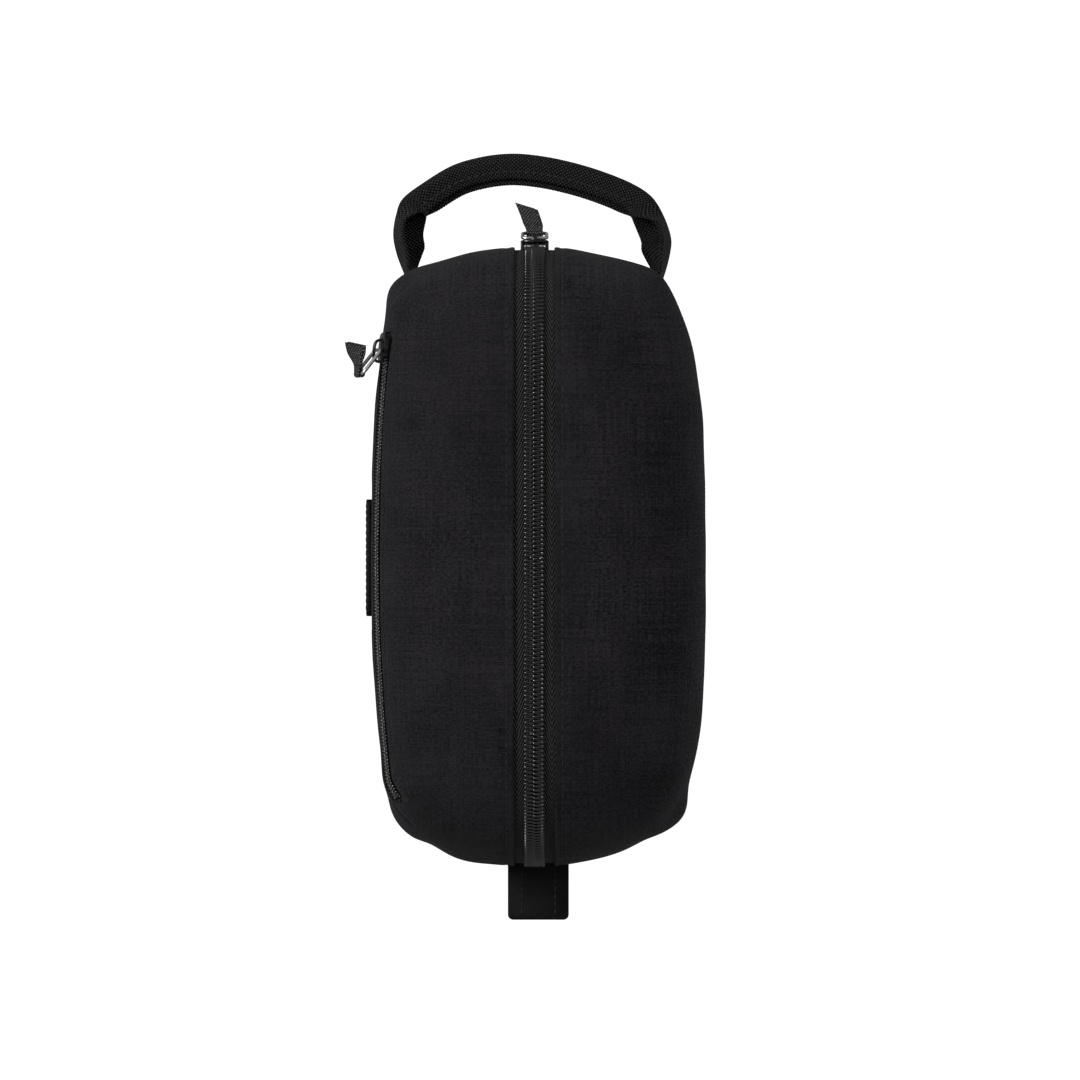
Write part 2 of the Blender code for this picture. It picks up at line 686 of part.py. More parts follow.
def build_handle(finishes, axes):
    count = len(HANDLE_ROUTE)
    rings = []
    for i, (x, y) in enumerate(HANDLE_ROUTE):
        before, after = HANDLE_ROUTE[max(i - 1, 0)], HANDLE_ROUTE[min(i + 1, count - 1)]
        tangent = Vector((after[0] - before[0], after[1] - before[1], 0)).normalized()
        inward = Vector((-tangent.y, tangent.x, 0))
        if inward.dot(Vector((HANDLE_AXIS_X - x, -y, 0))) < 0:
            inward = -inward
        angle = math.radians(fold_angle(x))
        cos, sin = math.cos(angle), math.sin(angle)
        half = WEB_WIDTH / 2
        up = Vector((0, 0, 1))
        fold = Vector((x, y, WEB_Z))
        tip, skew = inward * cos, up * sin
        thick_up = (inward * sin - up * cos) * WEB_THICK
        thick_down = (inward * sin + up * cos) * WEB_THICK
        rings.append((
            fold, fold + (tip + skew) * half, fold + (tip + skew) * half + thick_up,
            fold + inward * (WEB_THICK / sin), fold + (tip - skew) * half + thick_down, fold + (tip - skew) * half,
        ))
    points = [p for ring in rings for p in ring]
    faces = [
        (i * 6 + k, i * 6 + (k + 1) % 6, i * 6 + 6 + (k + 1) % 6, i * 6 + 6 + k)
        for i in range(count - 1) for k in range(6)
    ]
    faces += [tuple(range(6)), tuple(range(6 * count - 6, 6 * count))]
    web = mesh_of("handle_web", points, faces)
    moving = new_object("handle_webbing", web, finishes["webbing"], axes["handle"])
    boolean(moving, handle_region("region_handle_moving", WEB_WIDTH / 2), "INTERSECT")
    smooth_shaded(moving)
    points, faces = surface(FINE, -GAP, 8, 4, False)
    body = helper(new_object("region_body", mesh_of("region_body", points, faces, face_out=False)))
    swept = handle_region("region_handle_swept", WEB_WIDTH / 2 + GAP)
    for side, y in (("front", (-FAR, 0)), ("back", (0, FAR))):
        anchor = new_object(f"handle_anchor_{side}", web.copy(), finishes["webbing"])
        boolean(anchor, box_cutter(f"region_anchor_{side}", (-FAR, 0), y, (0, FAR)), "INTERSECT")
        boolean(anchor, swept, "DIFFERENCE")
        boolean(anchor, body, "DIFFERENCE")
        smooth_shaded(anchor)


def build_tab(finishes, axes):
    radius = TAB_THICK / 2
    outline = []
    for x, start in ((TAB_TIP_X - radius, -90), (TAB_AXIS_X, 90)):
        for i in range(9):
            turn = math.radians(start + 180 * i / 8)
            outline.append((x + radius * math.cos(turn), END_SEAM + radius * math.sin(turn)))
    mesh = prism_mesh("end_tab", "Y", outline, *TAB_SIDES)
    smooth_shaded(new_object("end_tab", mesh, finishes["leather"], axes["tab"]))


def build_label(finishes, axes):
    half, corner = 24.0, 2.0
    low, high = 51.0, 73.0
    outline = []
    for x, z, start in (
        (half - corner, high - corner, 0), (corner - half, high - corner, 90),
        (corner - half, low + corner, 180), (half - corner, low + corner, 270),
    ):
        for i in range(4):
            turn = math.radians(start + 30 * i)
            outline.append((x + corner * math.cos(turn), z + corner * math.sin(turn)))
    mesh = prism_mesh("label_patch", "Y", outline, -FRONT_HALF - 2.1, -FRONT_HALF - 0.4)
    new_object("label_patch", mesh, finishes["leather"], axes["pocket_mouth"])


# ---------------------------------------------------------------- the whole bag


def main():
    clear_scene()
    finishes = {
        "fabric": material("black_fabric", (0.013, 0.012, 0.014), 0.85),
        "lining": material("grey_lining", (0.09, 0.09, 0.1), 0.6),
        "webbing": material("black_webbing", (0.016, 0.016, 0.018), 0.8),
        "ribbon": material("black_ribbon", (0.014, 0.014, 0.016), 0.7),
        "leather": material("black_leather", (0.02, 0.018, 0.018), 0.5),
        "coil": material("black_coil", (0.02, 0.02, 0.022), 0.35),
        "tape": material("black_tape", (0.018, 0.018, 0.02), 0.8),
        "metal": material("gunmetal", (0.3, 0.3, 0.32), 0.3, 1.0),
        "board": material("board", (0.3, 0.28, 0.25), 0.8),
    }
    axes = {
        "front_mouth": joint_axis("front_mouth_axis", 0, -HINGE_Y, HINGE_Z["front"]),
        "back_mouth": joint_axis("back_mouth_axis", 0, HINGE_Y, HINGE_Z["back"]),
        "pocket_mouth": joint_axis("pocket_mouth_axis", 0, -62, 14),
        "main_slider": joint_axis("main_slider_axis", HANDLE_ROUND - END, 0, MAIN_SLIDER_Z),
        "main_ring": joint_axis("main_ring_axis", 0, 0, 0),
        "main_ribbon": joint_axis("main_ribbon_axis", 0, 0, 0),
        "pocket_slider": joint_axis("pocket_slider_axis", 0, POCKET_ZIP_CENTRE_Y, POCKET_ZIP_Z),
        "pocket_ring": joint_axis("pocket_ring_axis", 0, 0, 0),
        "pocket_ribbon": joint_axis("pocket_ribbon_axis", 0, 0, 0),
        "handle": joint_axis("handle_axis", HANDLE_AXIS_X, 0, WEB_Z),
        "tab": joint_axis("tab_axis", TAB_AXIS_X, 0, END_SEAM),
    }
    regions = build_regions()
    build_panels(regions, finishes, axes)
    build_lining(regions, finishes, axes)
    build_inner_pieces(regions, finishes)
    build_main_zip(finishes, axes)
    build_pocket_zip(finishes, axes)
    main_frame = (Vector((-END, 0, MAIN_SLIDER_Z)), Vector((0, 0, 1)), Vector((0, 1, 0)), Vector((-1, 0, 0)))
    build_pull("main", main_frame, Slider(MAIN_ZIP, 1.0, 16.0), (165, -42), finishes, axes)
    origin, up, out = pocket_frame(POCKET_SLIDER_X)
    pocket_slider_frame = (origin, up.cross(out).normalized(), up, out)
    build_pull("pocket", pocket_slider_frame, Slider(POCKET_ZIP, 0.8, 13.5), (33, 130), finishes, axes)
    build_handle(finishes, axes)
    build_tab(finishes, axes)
    build_label(finishes, axes)


main()
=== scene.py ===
"""The looks of a black shaving kit bag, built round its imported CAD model.

Shapes are worked out in millimetres with numpy, in the bag's own frame: the webbing handle is at -X, the
leather tab at +X and the zipped pocket on -Y, +Z is up, and the origin is in the middle of the base. MM turns
them into metres.
"""

import math

import bmesh
import bpy
import numpy as np
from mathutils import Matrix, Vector, noise


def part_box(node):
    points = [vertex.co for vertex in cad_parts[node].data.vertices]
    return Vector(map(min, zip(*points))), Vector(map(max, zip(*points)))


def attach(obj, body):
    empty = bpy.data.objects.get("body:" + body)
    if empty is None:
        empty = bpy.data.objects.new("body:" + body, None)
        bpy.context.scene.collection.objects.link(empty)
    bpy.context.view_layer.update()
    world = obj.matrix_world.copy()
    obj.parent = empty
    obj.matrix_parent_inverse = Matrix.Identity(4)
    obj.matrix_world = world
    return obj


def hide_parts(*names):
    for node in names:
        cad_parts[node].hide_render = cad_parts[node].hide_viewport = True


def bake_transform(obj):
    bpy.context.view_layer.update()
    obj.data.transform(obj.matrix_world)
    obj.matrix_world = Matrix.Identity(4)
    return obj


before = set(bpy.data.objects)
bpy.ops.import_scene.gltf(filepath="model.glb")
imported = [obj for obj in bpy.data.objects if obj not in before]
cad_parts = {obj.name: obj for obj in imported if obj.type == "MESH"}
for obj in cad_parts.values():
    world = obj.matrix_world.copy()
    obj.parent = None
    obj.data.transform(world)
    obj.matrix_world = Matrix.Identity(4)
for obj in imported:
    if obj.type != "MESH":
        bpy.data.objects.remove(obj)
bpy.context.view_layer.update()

MM = 0.001

# The body, as in the CAD model
HEIGHT = 118.0
END = 127.5
FRONT_HALF = 67.0
BACK_HALF = 69.5
SIDE_TAPER = 0.35
PLAN_POWER = 36.0
HANDLE_END_RADIUS = 131.0
TAB_END_RADIUS = 109.0
HANDLE_ROUND = 47.0
TAB_ROUND = 58.0
SIDE_ROUND_OUT = 46.0
SIDE_ROUND_DOWN = 40.0
BASE_ROUND = 16.0
SIDE_TUCK = 6.0
END_TUCK = 4.0
TUCK_TOP = 55.0
TOP_POWER = 9.0  # the plan's corners soften towards the top
POWER_FADE = 18.0

# Seams and openings
CORNER_SLOPE = 0.445
BASE_SEAM = 12.0
END_SEAM = 50.0
SLOT_HALF = 8.1
FLAP_HALF = 69.0
HINGE_Y = 44.0
FLAP_FOOT = 95.0  # the mouth's cloth is above this height
LINING_FLAP_FOOT = 92.0
LINING_SLOT = 12.5
LINING_SLOT_FOOT = 44.0
BACKING_SPAN = (15.5, 106.0)
STITCH_Y = 11.1
POCKET_FOOT = 85.0
POCKET_HEAD = 94.5
POCKET_SPAN = (-91.0, 98.0)
POCKET_MIDDLE = 4.0
POCKET_ZIP_Z = 90.0
POCKET_ZIP_TILT = math.radians(19)
POCKET_ZIP_RADIUS = 850.0
POCKET_ZIP_CENTRE_Y = 785.7
POCKET_ZIP_BEND = 87.0  # where the pocket zip starts to leave its circle, near the tab end
POCKET_SLIDER_X = -85.0
POCKET_DEPTH = 5.5
STITCH_PITCH = 3.4

# Layers
CLOTH_THICK = 0.5
SLOT_ROLL = 0.5  # radius of the folded edges beside the main zip
POCKET_ROLL = 0.4
LINING_INSET = 4.3
BACKING_INSET = 2.7
LINING_THICK = 0.3
FABRIC_EDGE = 0.02  # how near to a cut a point counts as on it

# Zips
MAIN_ZIP = {
    "middle": 0.65, "coil": 4.1, "tape": 11.0, "pitch": 1.78,
    "top": 0.3, "foot": -1.35, "tape_h": (-1.75, -1.35),
}
POCKET_ZIP = {
    "middle": 0.6, "coil": 3.0, "tape": 5.6, "pitch": 1.4,
    "top": 0.2, "foot": -1.25, "tape_h": (-1.6, -1.2),
}
MAIN_SLIDER_COIL = 4.0  # half of the coil's width, as the sliders' channels take it
POCKET_SLIDER_COIL = 3.0
HANDLE_STOP_TOP = 61.7
TAB_STOP_TOP = 59.0
TAPE_FOOT = 52.4

# Spans of x passed with the pieces that lie between a fixed and a moving body; nothing here bends them
MOUTH_BEND = (69.0, 5.0)  # |x| where the mouth would start to lift and be fully lifted; nothing here lifts it
POCKET_BEND = {"handle": (-88.0, -26.0), "tab": (95.0, 26.0)}

# Handle and tab
WEB_HALF = 12.7
WEB_THICK = 1.8
WEB_Z = 56.0
HANDLE_AXIS_X = -131.0


def smooth(t):
    t = np.clip(t, 0.0, 1.0)
    return t * t * (3 - 2 * t)


def unit(v):
    return v / np.maximum(np.linalg.norm(v, axis=-1, keepdims=True), 1e-9)


def bell(distance, width):
    return np.exp(-((distance / width) ** 2))


def distances_along(path):
    return np.concatenate([[0], np.cumsum(np.linalg.norm(np.diff(path, axis=0), axis=1))])


def bisected(low, high, steps, passes):
    """The highest value from low to high that still passes, for each point."""
    for _ in range(steps):
        middle = (low + high) / 2
        inside = passes(middle)
        low, high = np.where(inside, middle, low), np.where(inside, high, middle)
    return low


def sampled_noise(points, size, seed):
    """Smooth noise from about -1 to 1 with features of that size, one value a point."""
    shift = Vector((seed * 17.3, seed * 5.1, seed * 9.7))
    return np.array([noise.noise(Vector(p) / size + shift) for p in points])


# ---------------------------------------------------------------- meshes


def make_object(name, points, faces, finish, cloth=None, sharp=None):
    """A mesh object from points in millimetres. cloth holds each point's place along and across its weave."""
    mesh = bpy.data.meshes.new(name)
    mesh.from_pydata((np.asarray(points, float) * MM).tolist(), [], [tuple(map(int, f)) for f in faces])
    if cloth is not None:
        flat = np.zeros((len(points), 3), np.float32)
        flat[:, : cloth.shape[1]] = cloth
        mesh.attributes.new("cloth", "FLOAT_VECTOR", "POINT").data.foreach_set("vector", flat.ravel())
    mesh.update()
    mesh.shade_smooth()
    if sharp:
        mesh.set_sharp_from_angle(angle=math.radians(sharp))
    mesh.materials.append(finish)
    obj = bpy.data.objects.new(name, mesh)
    bpy.context.scene.collection.objects.link(obj)
    return obj


def apply_modifiers(obj):
    evaluated = obj.evaluated_get(bpy.context.evaluated_depsgraph_get())
    mesh = bpy.data.meshes.new_from_object(evaluated)
    obj.modifiers.clear()
    old, obj.data = obj.data, mesh
    bpy.data.meshes.remove(old)
    return obj


def thicken(obj, thickness):
    """Gives a sheet its thickness, inwards."""
    solid = obj.modifiers.new("solid", "SOLIDIFY")
    solid.thickness = thickness * MM
    solid.offset = -1
    apply_modifiers(obj)
    obj.data.set_sharp_from_angle(angle=math.radians(60))
    return obj


def grid_faces(rows, columns, closed=False):
    i, j = np.meshgrid(np.arange(rows - 1), np.arange(columns if closed else columns - 1), indexing="ij")
    k = (j + 1) % columns
    here, there = i * columns, (i + 1) * columns
    return np.stack([here + j, here + k, there + k, there + j], axis=-1).reshape(-1, 4).tolist()


def sweep(path, across, out, sections, closed_section=True, capped=True, closed_path=False):
    """Sections of (across, out) points along a path: (points, faces, cloth).

    sections has one section for the whole path, or one a station.
    """
    path, across, out = (np.asarray(a, float) for a in (path, across, out))
    sections = np.broadcast_to(np.asarray(sections, float), (len(path),) + np.shape(sections)[-2:])
    points = path[:, None] + across[:, None] * sections[..., :1] + out[:, None] * sections[..., 1:2]
    rows, columns = points.shape[:2]
    along = distances_along(path)
    cloth = np.stack([np.broadcast_to(along[:, None], (rows, columns)), sections[..., 0]], axis=-1)
    faces = grid_faces(rows, columns, closed_section)
    if closed_path:
        last = (rows - 1) * columns
        faces += [(last + k, last + (k + 1) % columns, (k + 1) % columns, k) for k in range(columns)]
    elif capped and closed_section:
        faces += [tuple(range(columns))[::-1], tuple(range((rows - 1) * columns, rows * columns))]
    return points.reshape(-1, 3), faces, cloth.reshape(-1, 2)


class Pile:
    """Collects several shapes into one mesh."""

    def __init__(self):
        self.points, self.faces, self.cloth, self.count = [], [], [], 0

    def add(self, points, faces, cloth=None):
        points = np.asarray(points, float).reshape(-1, 3)
        self.faces += [tuple(i + self.count for i in face) for face in faces]
        self.points.append(points)
        self.cloth.append(points[:, :2] if cloth is None else np.asarray(cloth)[:, :2])
        self.count += len(points)

    def whole(self):
        return np.concatenate(self.points), self.faces, np.concatenate(self.cloth)

    def make(self, name, finish, sharp=None):
        points, faces, cloth = self.whole()
        return make_object(name, points, faces, finish, cloth, sharp)


def tube(path, radius, sides=8, closed=False):
    """A round tube along a path in space, whose section doesn't twist: (points, faces, cloth)."""
    path = np.asarray(path, float)
    if closed:
        tangent = unit(np.roll(path, -1, 0) - np.roll(path, 1, 0))
    else:
        tangent = unit(np.gradient(path, axis=0))
    normal = np.zeros_like(path)
    normal[0] = unit(np.cross(tangent[0], (0.3, 0.5, 0.81)))
    for i in range(1, len(path)):
        n = normal[i - 1] - tangent[i] * np.dot(normal[i - 1], tangent[i])
        normal[i] = n / np.linalg.norm(n)
    turn = np.linspace(0, 2 * math.pi, sides, endpoint=False)
    radius = np.broadcast_to(np.asarray(radius, float), (len(path),))
    ring = np.stack([np.cos(turn), np.sin(turn)], axis=-1)
    sections = ring[None] * radius[:, None, None]
    return sweep(path, normal, np.cross(tangent, normal), sections, closed_path=closed)


def capsule(start, end, radius, sides=7):
    """A thread stitch: a rounded rod that dips at both ends."""
    start, end = np.asarray(start, float), np.asarray(end, float)
    share = np.array([0.0, 0.04, 0.16, 0.5, 0.84, 0.96, 1.0])
    widths = radius * np.array([0.05, 0.6, 0.95, 1.0, 0.95, 0.6, 0.05])
    return tube(start + (end - start) * share[:, None], widths, sides)


def resampled(path, spacing):
    """Points at even distances along a path."""
    along = distances_along(path)
    count = max(int(round(along[-1] / spacing)), 1)
    marks = np.linspace(0, along[-1], count + 1)
    return np.stack([np.interp(marks, along, path[:, k]) for k in range(path.shape[1])], axis=-1)


def curve_through(points, count):
    """A smooth curve through points: Catmull-Rom."""
    p = np.asarray(points, float)
    p = np.concatenate([[2 * p[0] - p[1]], p, [2 * p[-1] - p[-2]]])
    t = np.linspace(0, len(p) - 3 - 1e-9, count)
    i = t.astype(int)
    f = (t - i)[:, None]
    a, b, c, d = p[i], p[i + 1], p[i + 2], p[i + 3]
    return 0.5 * (2 * b + (c - a) * f + (2 * a - 5 * b + 4 * c - d) * f**2 + (3 * b - a - 3 * c + d) * f**3)


# ---------------------------------------------------------------- the body's surface


def side_reach(x, y, inset):
    half = np.where(y < 0, FRONT_HALF, BACK_HALF)
    return half * (1 - SIDE_TAPER * (np.abs(x) / END) ** 4) - inset


def end_reach(x, y, inset):
    return END - y * y / (2 * np.where(x < 0, HANDLE_END_RADIUS, TAB_END_RADIUS)) - inset


def inside_plan(x, y, inset, power=PLAN_POWER):
    side = np.maximum(side_reach(x, y, inset), 0.5)
    end = np.maximum(end_reach(x, y, inset), 0.5)
    return (np.abs(y) / side) ** power + (np.abs(x) / end) ** power < 1


def plan_level(x, y, inset):
    """How far inside the outline at an inset points in plan are, with corners that soften inwards."""
    most = np.maximum(np.minimum(side_reach(x, y, inset) - np.abs(y), end_reach(x, y, inset) - np.abs(x)), 0)

    def covers(level):
        power = PLAN_POWER + (TOP_POWER - PLAN_POWER) * smooth(level / POWER_FADE)
        return inside_plan(x, y, inset + level, power)

    return bisected(np.zeros_like(x), most, 22, covers)


def endness(x, y):
    return smooth((np.abs(x) / np.maximum(np.hypot(x, y), 1e-6) - 0.77) / 0.2)


def rounding(x, y, inset):
    """(out, down, shoulder height) of the top's rounded edge seen from a point in plan."""
    share = endness(x, y)
    end_round = np.where(x < 0, HANDLE_ROUND, TAB_ROUND)
    out = SIDE_ROUND_OUT + (end_round - SIDE_ROUND_OUT) * share - inset
    down = SIDE_ROUND_DOWN + (end_round - SIDE_ROUND_DOWN) * share - inset
    return out, down, HEIGHT - inset - down


def top_height(x, y, inset):
    out, down, shoulder = rounding(x, y, inset)
    level = plan_level(x, y, inset)
    return shoulder + down * np.sqrt(np.maximum(1 - (1 - np.minimum(level / out, 1)) ** 2, 0))


def wall_inside(x, y, z, inset):
    """How far inside the widest outline the wall is at a height."""
    tuck = SIDE_TUCK + (END_TUCK - SIDE_TUCK) * endness(x, y)
    corner = BASE_ROUND - inset
    lift = np.clip(1 - (z - inset) / corner, 0, 1)
    return tuck * (1 - np.minimum(z / TUCK_TOP, 1)) ** 2 + corner * (1 - np.sqrt(1 - lift**2))


def outline(angles, inset):
    cos, sin = np.cos(angles), np.sin(angles)
    nearest, farthest = np.zeros_like(angles), np.full_like(angles, 2 * END)
    r = bisected(nearest, farthest, 34, lambda r: inside_plan(r * cos, r * sin, inset))
    return np.stack([r * cos, r * sin], axis=-1)


def pocket_push(x, y, z):
    along = smooth((112 - np.abs(x)) / 16)
    up = smooth((z - 18) / 16) * (1 - smooth((z - 92) / 14))
    front = (y < -CORNER_SLOPE * np.abs(x)) * smooth((np.abs(y) - 0.6 * FRONT_HALF) / 10)
    return POCKET_DEPTH * along * up * front


def body_grid(inset, around, top_rows, wall_rows, pocketed=False):
    """The closed surface at an inset: (points, faces).

    Rays run from feet on the X axis out to the widest outline.
    """
    fine = np.linspace(0, math.pi, 3000)
    mean = (outline(fine, inset) + outline(-fine, inset) * (1, -1)) / 2
    heading = np.unwrap(np.arctan2(*np.gradient(mean, axis=0).T[::-1]))
    step = np.linalg.norm(np.diff(mean, axis=0), axis=1) + 9 * np.abs(np.diff(heading))
    measure = np.concatenate([[0], np.cumsum(step)])
    half = np.interp(np.linspace(0, measure[-1], around // 2 + 1), measure, fine)
    foot_half = 0.75 * np.interp(half, fine, mean[:, 0])
    angles = np.concatenate([half, -half[-2:0:-1]])
    feet = np.concatenate([foot_half, foot_half[-2:0:-1]])
    rim = outline(angles, inset)
    foot = np.stack([feet, np.zeros_like(feet)], axis=-1)
    _, _, shoulder = rounding(rim[:, 0], rim[:, 1], inset)

    def along_ray(share):
        return foot + (rim - foot) * share[:, None]

    def wall_row(z):
        level = wall_inside(rim[:, 0], rim[:, 1], z, inset)
        none, full = np.zeros_like(feet), np.ones_like(feet)
        return bisected(none, full, 26, lambda share: inside_plan(*along_ray(share).T, inset + level))

    rows = []
    corner = BASE_ROUND - inset
    base = wall_row(np.full_like(feet, inset))
    for share in np.linspace(0, 1, around // 16, endpoint=False):
        rows.append(np.column_stack([along_ray(base * share), np.full_like(feet, inset)]))
    for turn in np.linspace(0, math.pi / 2, 11):
        z = np.full_like(feet, inset + corner * (1 - math.cos(turn)))
        rows.append(np.column_stack([along_ray(wall_row(z)), z]))
    for share in np.linspace(0, 1, wall_rows + 1)[1:]:
        z = BASE_ROUND + (shoulder - BASE_ROUND) * share
        rows.append(np.column_stack([along_ray(wall_row(z)), z]))
    for turn in np.linspace(0, math.pi / 2, top_rows + 1)[1:]:
        x, y = along_ray(np.full_like(feet, math.cos(turn))).T
        rows.append(np.column_stack([x, y, top_height(x, y, inset)]))
    points = np.stack(rows)
    if pocketed:
        points[..., 1] += pocket_push(*points.transpose(2, 0, 1))
    return points.reshape(-1, 3), grid_faces(len(rows), len(feet), closed=True)


def side_surface_y(x, z):
    """Where the front of the plain body is at a height above its shoulder."""
    return bisected(0 * x, np.full_like(x, -FRONT_HALF), 24, lambda y: top_height(x, y, 0.0) > z)


def pocket_bend_share(x):
    """From 0, where the pocket zip is on its slider's circle, to 1 near the tab end."""
    return smooth((x - POCKET_ZIP_BEND) / 12)


def pocket_zip_y(x):
    """The pocket zip follows its slider's circle, and bends in towards the surface near the tab end."""
    circle = POCKET_ZIP_CENTRE_Y - np.sqrt(POCKET_ZIP_RADIUS**2 - x**2)
    return circle + (side_surface_y(x, POCKET_ZIP_Z) - circle) * 0.65 * pocket_bend_share(x)


# How far the pocket zip stands out past the plain surface
POCKET_XS = np.linspace(-120, 120, 121)
POCKET_PROUD = side_surface_y(POCKET_XS, POCKET_ZIP_Z) - pocket_zip_y(POCKET_XS)


def weave_place(points):
    """Each point's place along and across the weave.

    These are its distances from the middle of the top, over the rounded edges.
    """
    x, y, z = points.T
    out, down, shoulder = rounding(x, y, 0)
    angle = np.arcsin(np.clip((z - shoulder) / down, 0, 1))
    extra = (out + down) / 2 * (math.pi / 2 - angle) - out * np.cos(angle) + np.maximum(shoulder - z, 0)
    end_share = smooth((CORNER_SLOPE * np.abs(x) / np.maximum(np.abs(y), 1e-6) - 0.9) / 0.2)
    u = x + np.sign(x) * end_share * extra
    v = y + np.sign(y) * (1 - end_share) * extra
    return np.column_stack([u, v])


def corner_distance(x, y):
    return np.abs(np.abs(y) - CORNER_SLOPE * np.abs(x)) / math.hypot(1, CORNER_SLOPE)


def waves(points):
    """The slack of the cloth, in millimetres along the normal: none at the main zip, little at the other."""
    x, y, z = points.T
    calm = smooth((np.abs(y) - 7) / 22)
    calm = calm * np.where(y < 0, 0.25 + 0.75 * smooth(np.abs(z - POCKET_ZIP_Z) / 16), 1)
    calm = calm * np.where((y < -40) & (np.abs(x) < 30) & (z < 80) & (z > 44), 0.35, 1)
    slack = 0.8 * sampled_noise(points, 52, 1) + 0.45 * sampled_noise(points, 21, 2)
    return calm * slack * (0.4 + 0.6 * smooth((112 - z) / 30))


def seam_relief(points):
    """Grooves and puckers where the cloth is sewn, in millimetres along the normal."""
    x, y, z = points.T
    away = np.abs(np.abs(y) - STITCH_Y)
    top = smooth((z - 51) / 4)
    along = np.where(np.abs(x) > 118, z, x)
    pucker = np.sin(along * 2 * math.pi / 8.3 + 2.1 * np.sin(along / 13.0) + np.sign(y))
    relief = top * (-0.34 * bell(away, 0.8) + 0.12 * bell(np.abs(y) - 9.6, 0.9))
    relief += top * 0.10 * pucker * bell(np.abs(y) - 14.5, 4.5) * (np.abs(y) > STITCH_Y)
    seam_pucker = 0.35 * np.sin(y * 2 * math.pi / 11 + 1.7 * np.sin(y / 9))
    end = smooth((CORNER_SLOPE * np.abs(x) - np.abs(y)) / 3 + 0.5)
    relief += end * (-0.9 * bell(z - END_SEAM, 1.5) + seam_pucker * bell(z - END_SEAM - 5, 4) * 0.5)
    base_pucker = 0.3 * np.sin((x + y) * 2 * math.pi / 13)
    relief += -0.9 * bell(z - BASE_SEAM, 1.5) + base_pucker * bell(z - BASE_SEAM - 4, 3.5) * 0.4
    seam_top = np.where(x < 0, 68.0, 53.0)
    low = smooth((seam_top + 5 - z) / 9) * smooth((z - 6) / 6) * smooth((np.abs(x) - 80) / 15)
    relief += low * -0.9 * bell(corner_distance(x, y), 1.7)
    front = (y < -CORNER_SLOPE * np.abs(x)) & (np.abs(y) > 45)
    past = (x < POCKET_SPAN[0]) | (x > POCKET_SPAN[1])
    relief += np.where(front & past, -0.6 * bell(z - POCKET_FOOT, 1.3), 0)
    rails = bell(z - POCKET_HEAD - 3.0, 0.8) + bell(z - POCKET_FOOT + 3.0, 0.8)
    relief += np.where(front & ~past, -0.25 * rails, 0)
    proud = np.interp(x, POCKET_XS, POCKET_PROUD) * smooth((118 - np.abs(x)) / 20)
    in_front = smooth((-y - CORNER_SLOPE * np.abs(x)) / 12)
    relief += proud * bell(z - POCKET_ZIP_Z, 15) * in_front * smooth((-y - 30) / 12)
    return relief


# Round the corners: x, y, how far the cloth stands out there, and the reach of that
CORNER_PUSH = (
    (105, -52, 2.0, 9.5), (116, -43, -1.4, 7), (122, -28, 1.6, 12),
    (103, 57, 3.4, 9), (114, 46, -1.4, 8), (122, 27, 0.2, 10),
    (-111, -57, 5.2, 9.5), (-96, -63, 1.2, 12), (-98, 60, -3.4, 13),
)


def corner_relief(points):
    x, y, z = points.T
    band = smooth((z - 16) / 26) * smooth((85 - z) / 14)
    return sum(push * bell(np.hypot(x - cx, y - cy), reach) for cx, cy, push, reach in CORNER_PUSH) * band


def relief_of(points):
    """How far the cloth stands out from the plain surface. The base stays flat."""
    return (waves(points) + seam_relief(points) + corner_relief(points)) * smooth((points[:, 2] - 1) / 8)


# ---------------------------------------------------------------- cutting the body into pieces


def cut(bm, point, normal, keep):
    """Adds edges where a plane crosses the faces whose centre passes keep."""
    faces = [f for f in bm.faces if keep(f.calc_center_median())]
    geom = {g for f in faces for g in (*f.verts, *f.edges)}
    geom = list(geom) + faces
    bmesh.ops.bisect_plane(bm, geom=geom, dist=1e-3, plane_co=point, plane_no=normal)


def bmesh_of(points, faces):
    bm = bmesh.new()
    made = [bm.verts.new(p) for p in points]
    for face in faces:
        bm.faces.new([made[i] for i in face])
    bmesh.ops.remove_doubles(bm, verts=bm.verts, dist=2e-3)
    bmesh.ops.dissolve_degenerate(bm, edges=bm.edges, dist=1e-3)
    return bm


class Shell:
    """A surface cut along planes, with its points moved along their normals, from which pieces are taken."""

    def __init__(self, points, faces, cuts, relief):
        bm = bmesh_of(points, faces)
        for point, normal, keep in cuts:
            cut(bm, point, normal, keep)
        bm.normal_update()
        bm.verts.index_update()
        self.plain = np.array([v.co for v in bm.verts])
        normals = np.array([v.normal for v in bm.verts])
        self.faces = [tuple(v.index for v in f.verts) for f in bm.faces]
        self.centres = np.array([f.calc_center_median() for f in bm.faces])
        self.points = self.plain + normals * relief(self.plain)[:, None]
        for v, p in zip(bm.verts, self.points):
            v.co = p
        bm.normal_update()
        self.normals = np.array([v.normal for v in bm.verts])
        bm.free()
        self.cloth = weave_place(self.plain)

    def piece(self, name, mask, finish, thickness, rolls=()):
        """One piece of the shell.

        rolls are the edges turned under: (radius, reach, on_edge(plain points), toward(plain points)).
        """
        chosen = [self.faces[i] for i in np.nonzero(mask)[0]]
        used = np.unique([i for face in chosen for i in face])
        place = {old: new for new, old in enumerate(used)}
        faces = [tuple(place[i] for i in face) for face in chosen]
        points, normals = self.points[used], self.normals[used]
        plain, cloth = self.plain[used], self.cloth[used]
        for roll in rolls:
            points, normals, plain, cloth, faces = turned_under(points, normals, plain, cloth, faces, *roll)
        return thicken(make_object(name, points, faces, finish, cloth), thickness)


def boundary_edges(faces):
    owner = {}
    for face in faces:
        for a, b in zip(face, face[1:] + face[:1]):
            if (b, a) in owner:
                del owner[(b, a)]
            else:
                owner[(a, b)] = True
    return list(owner)


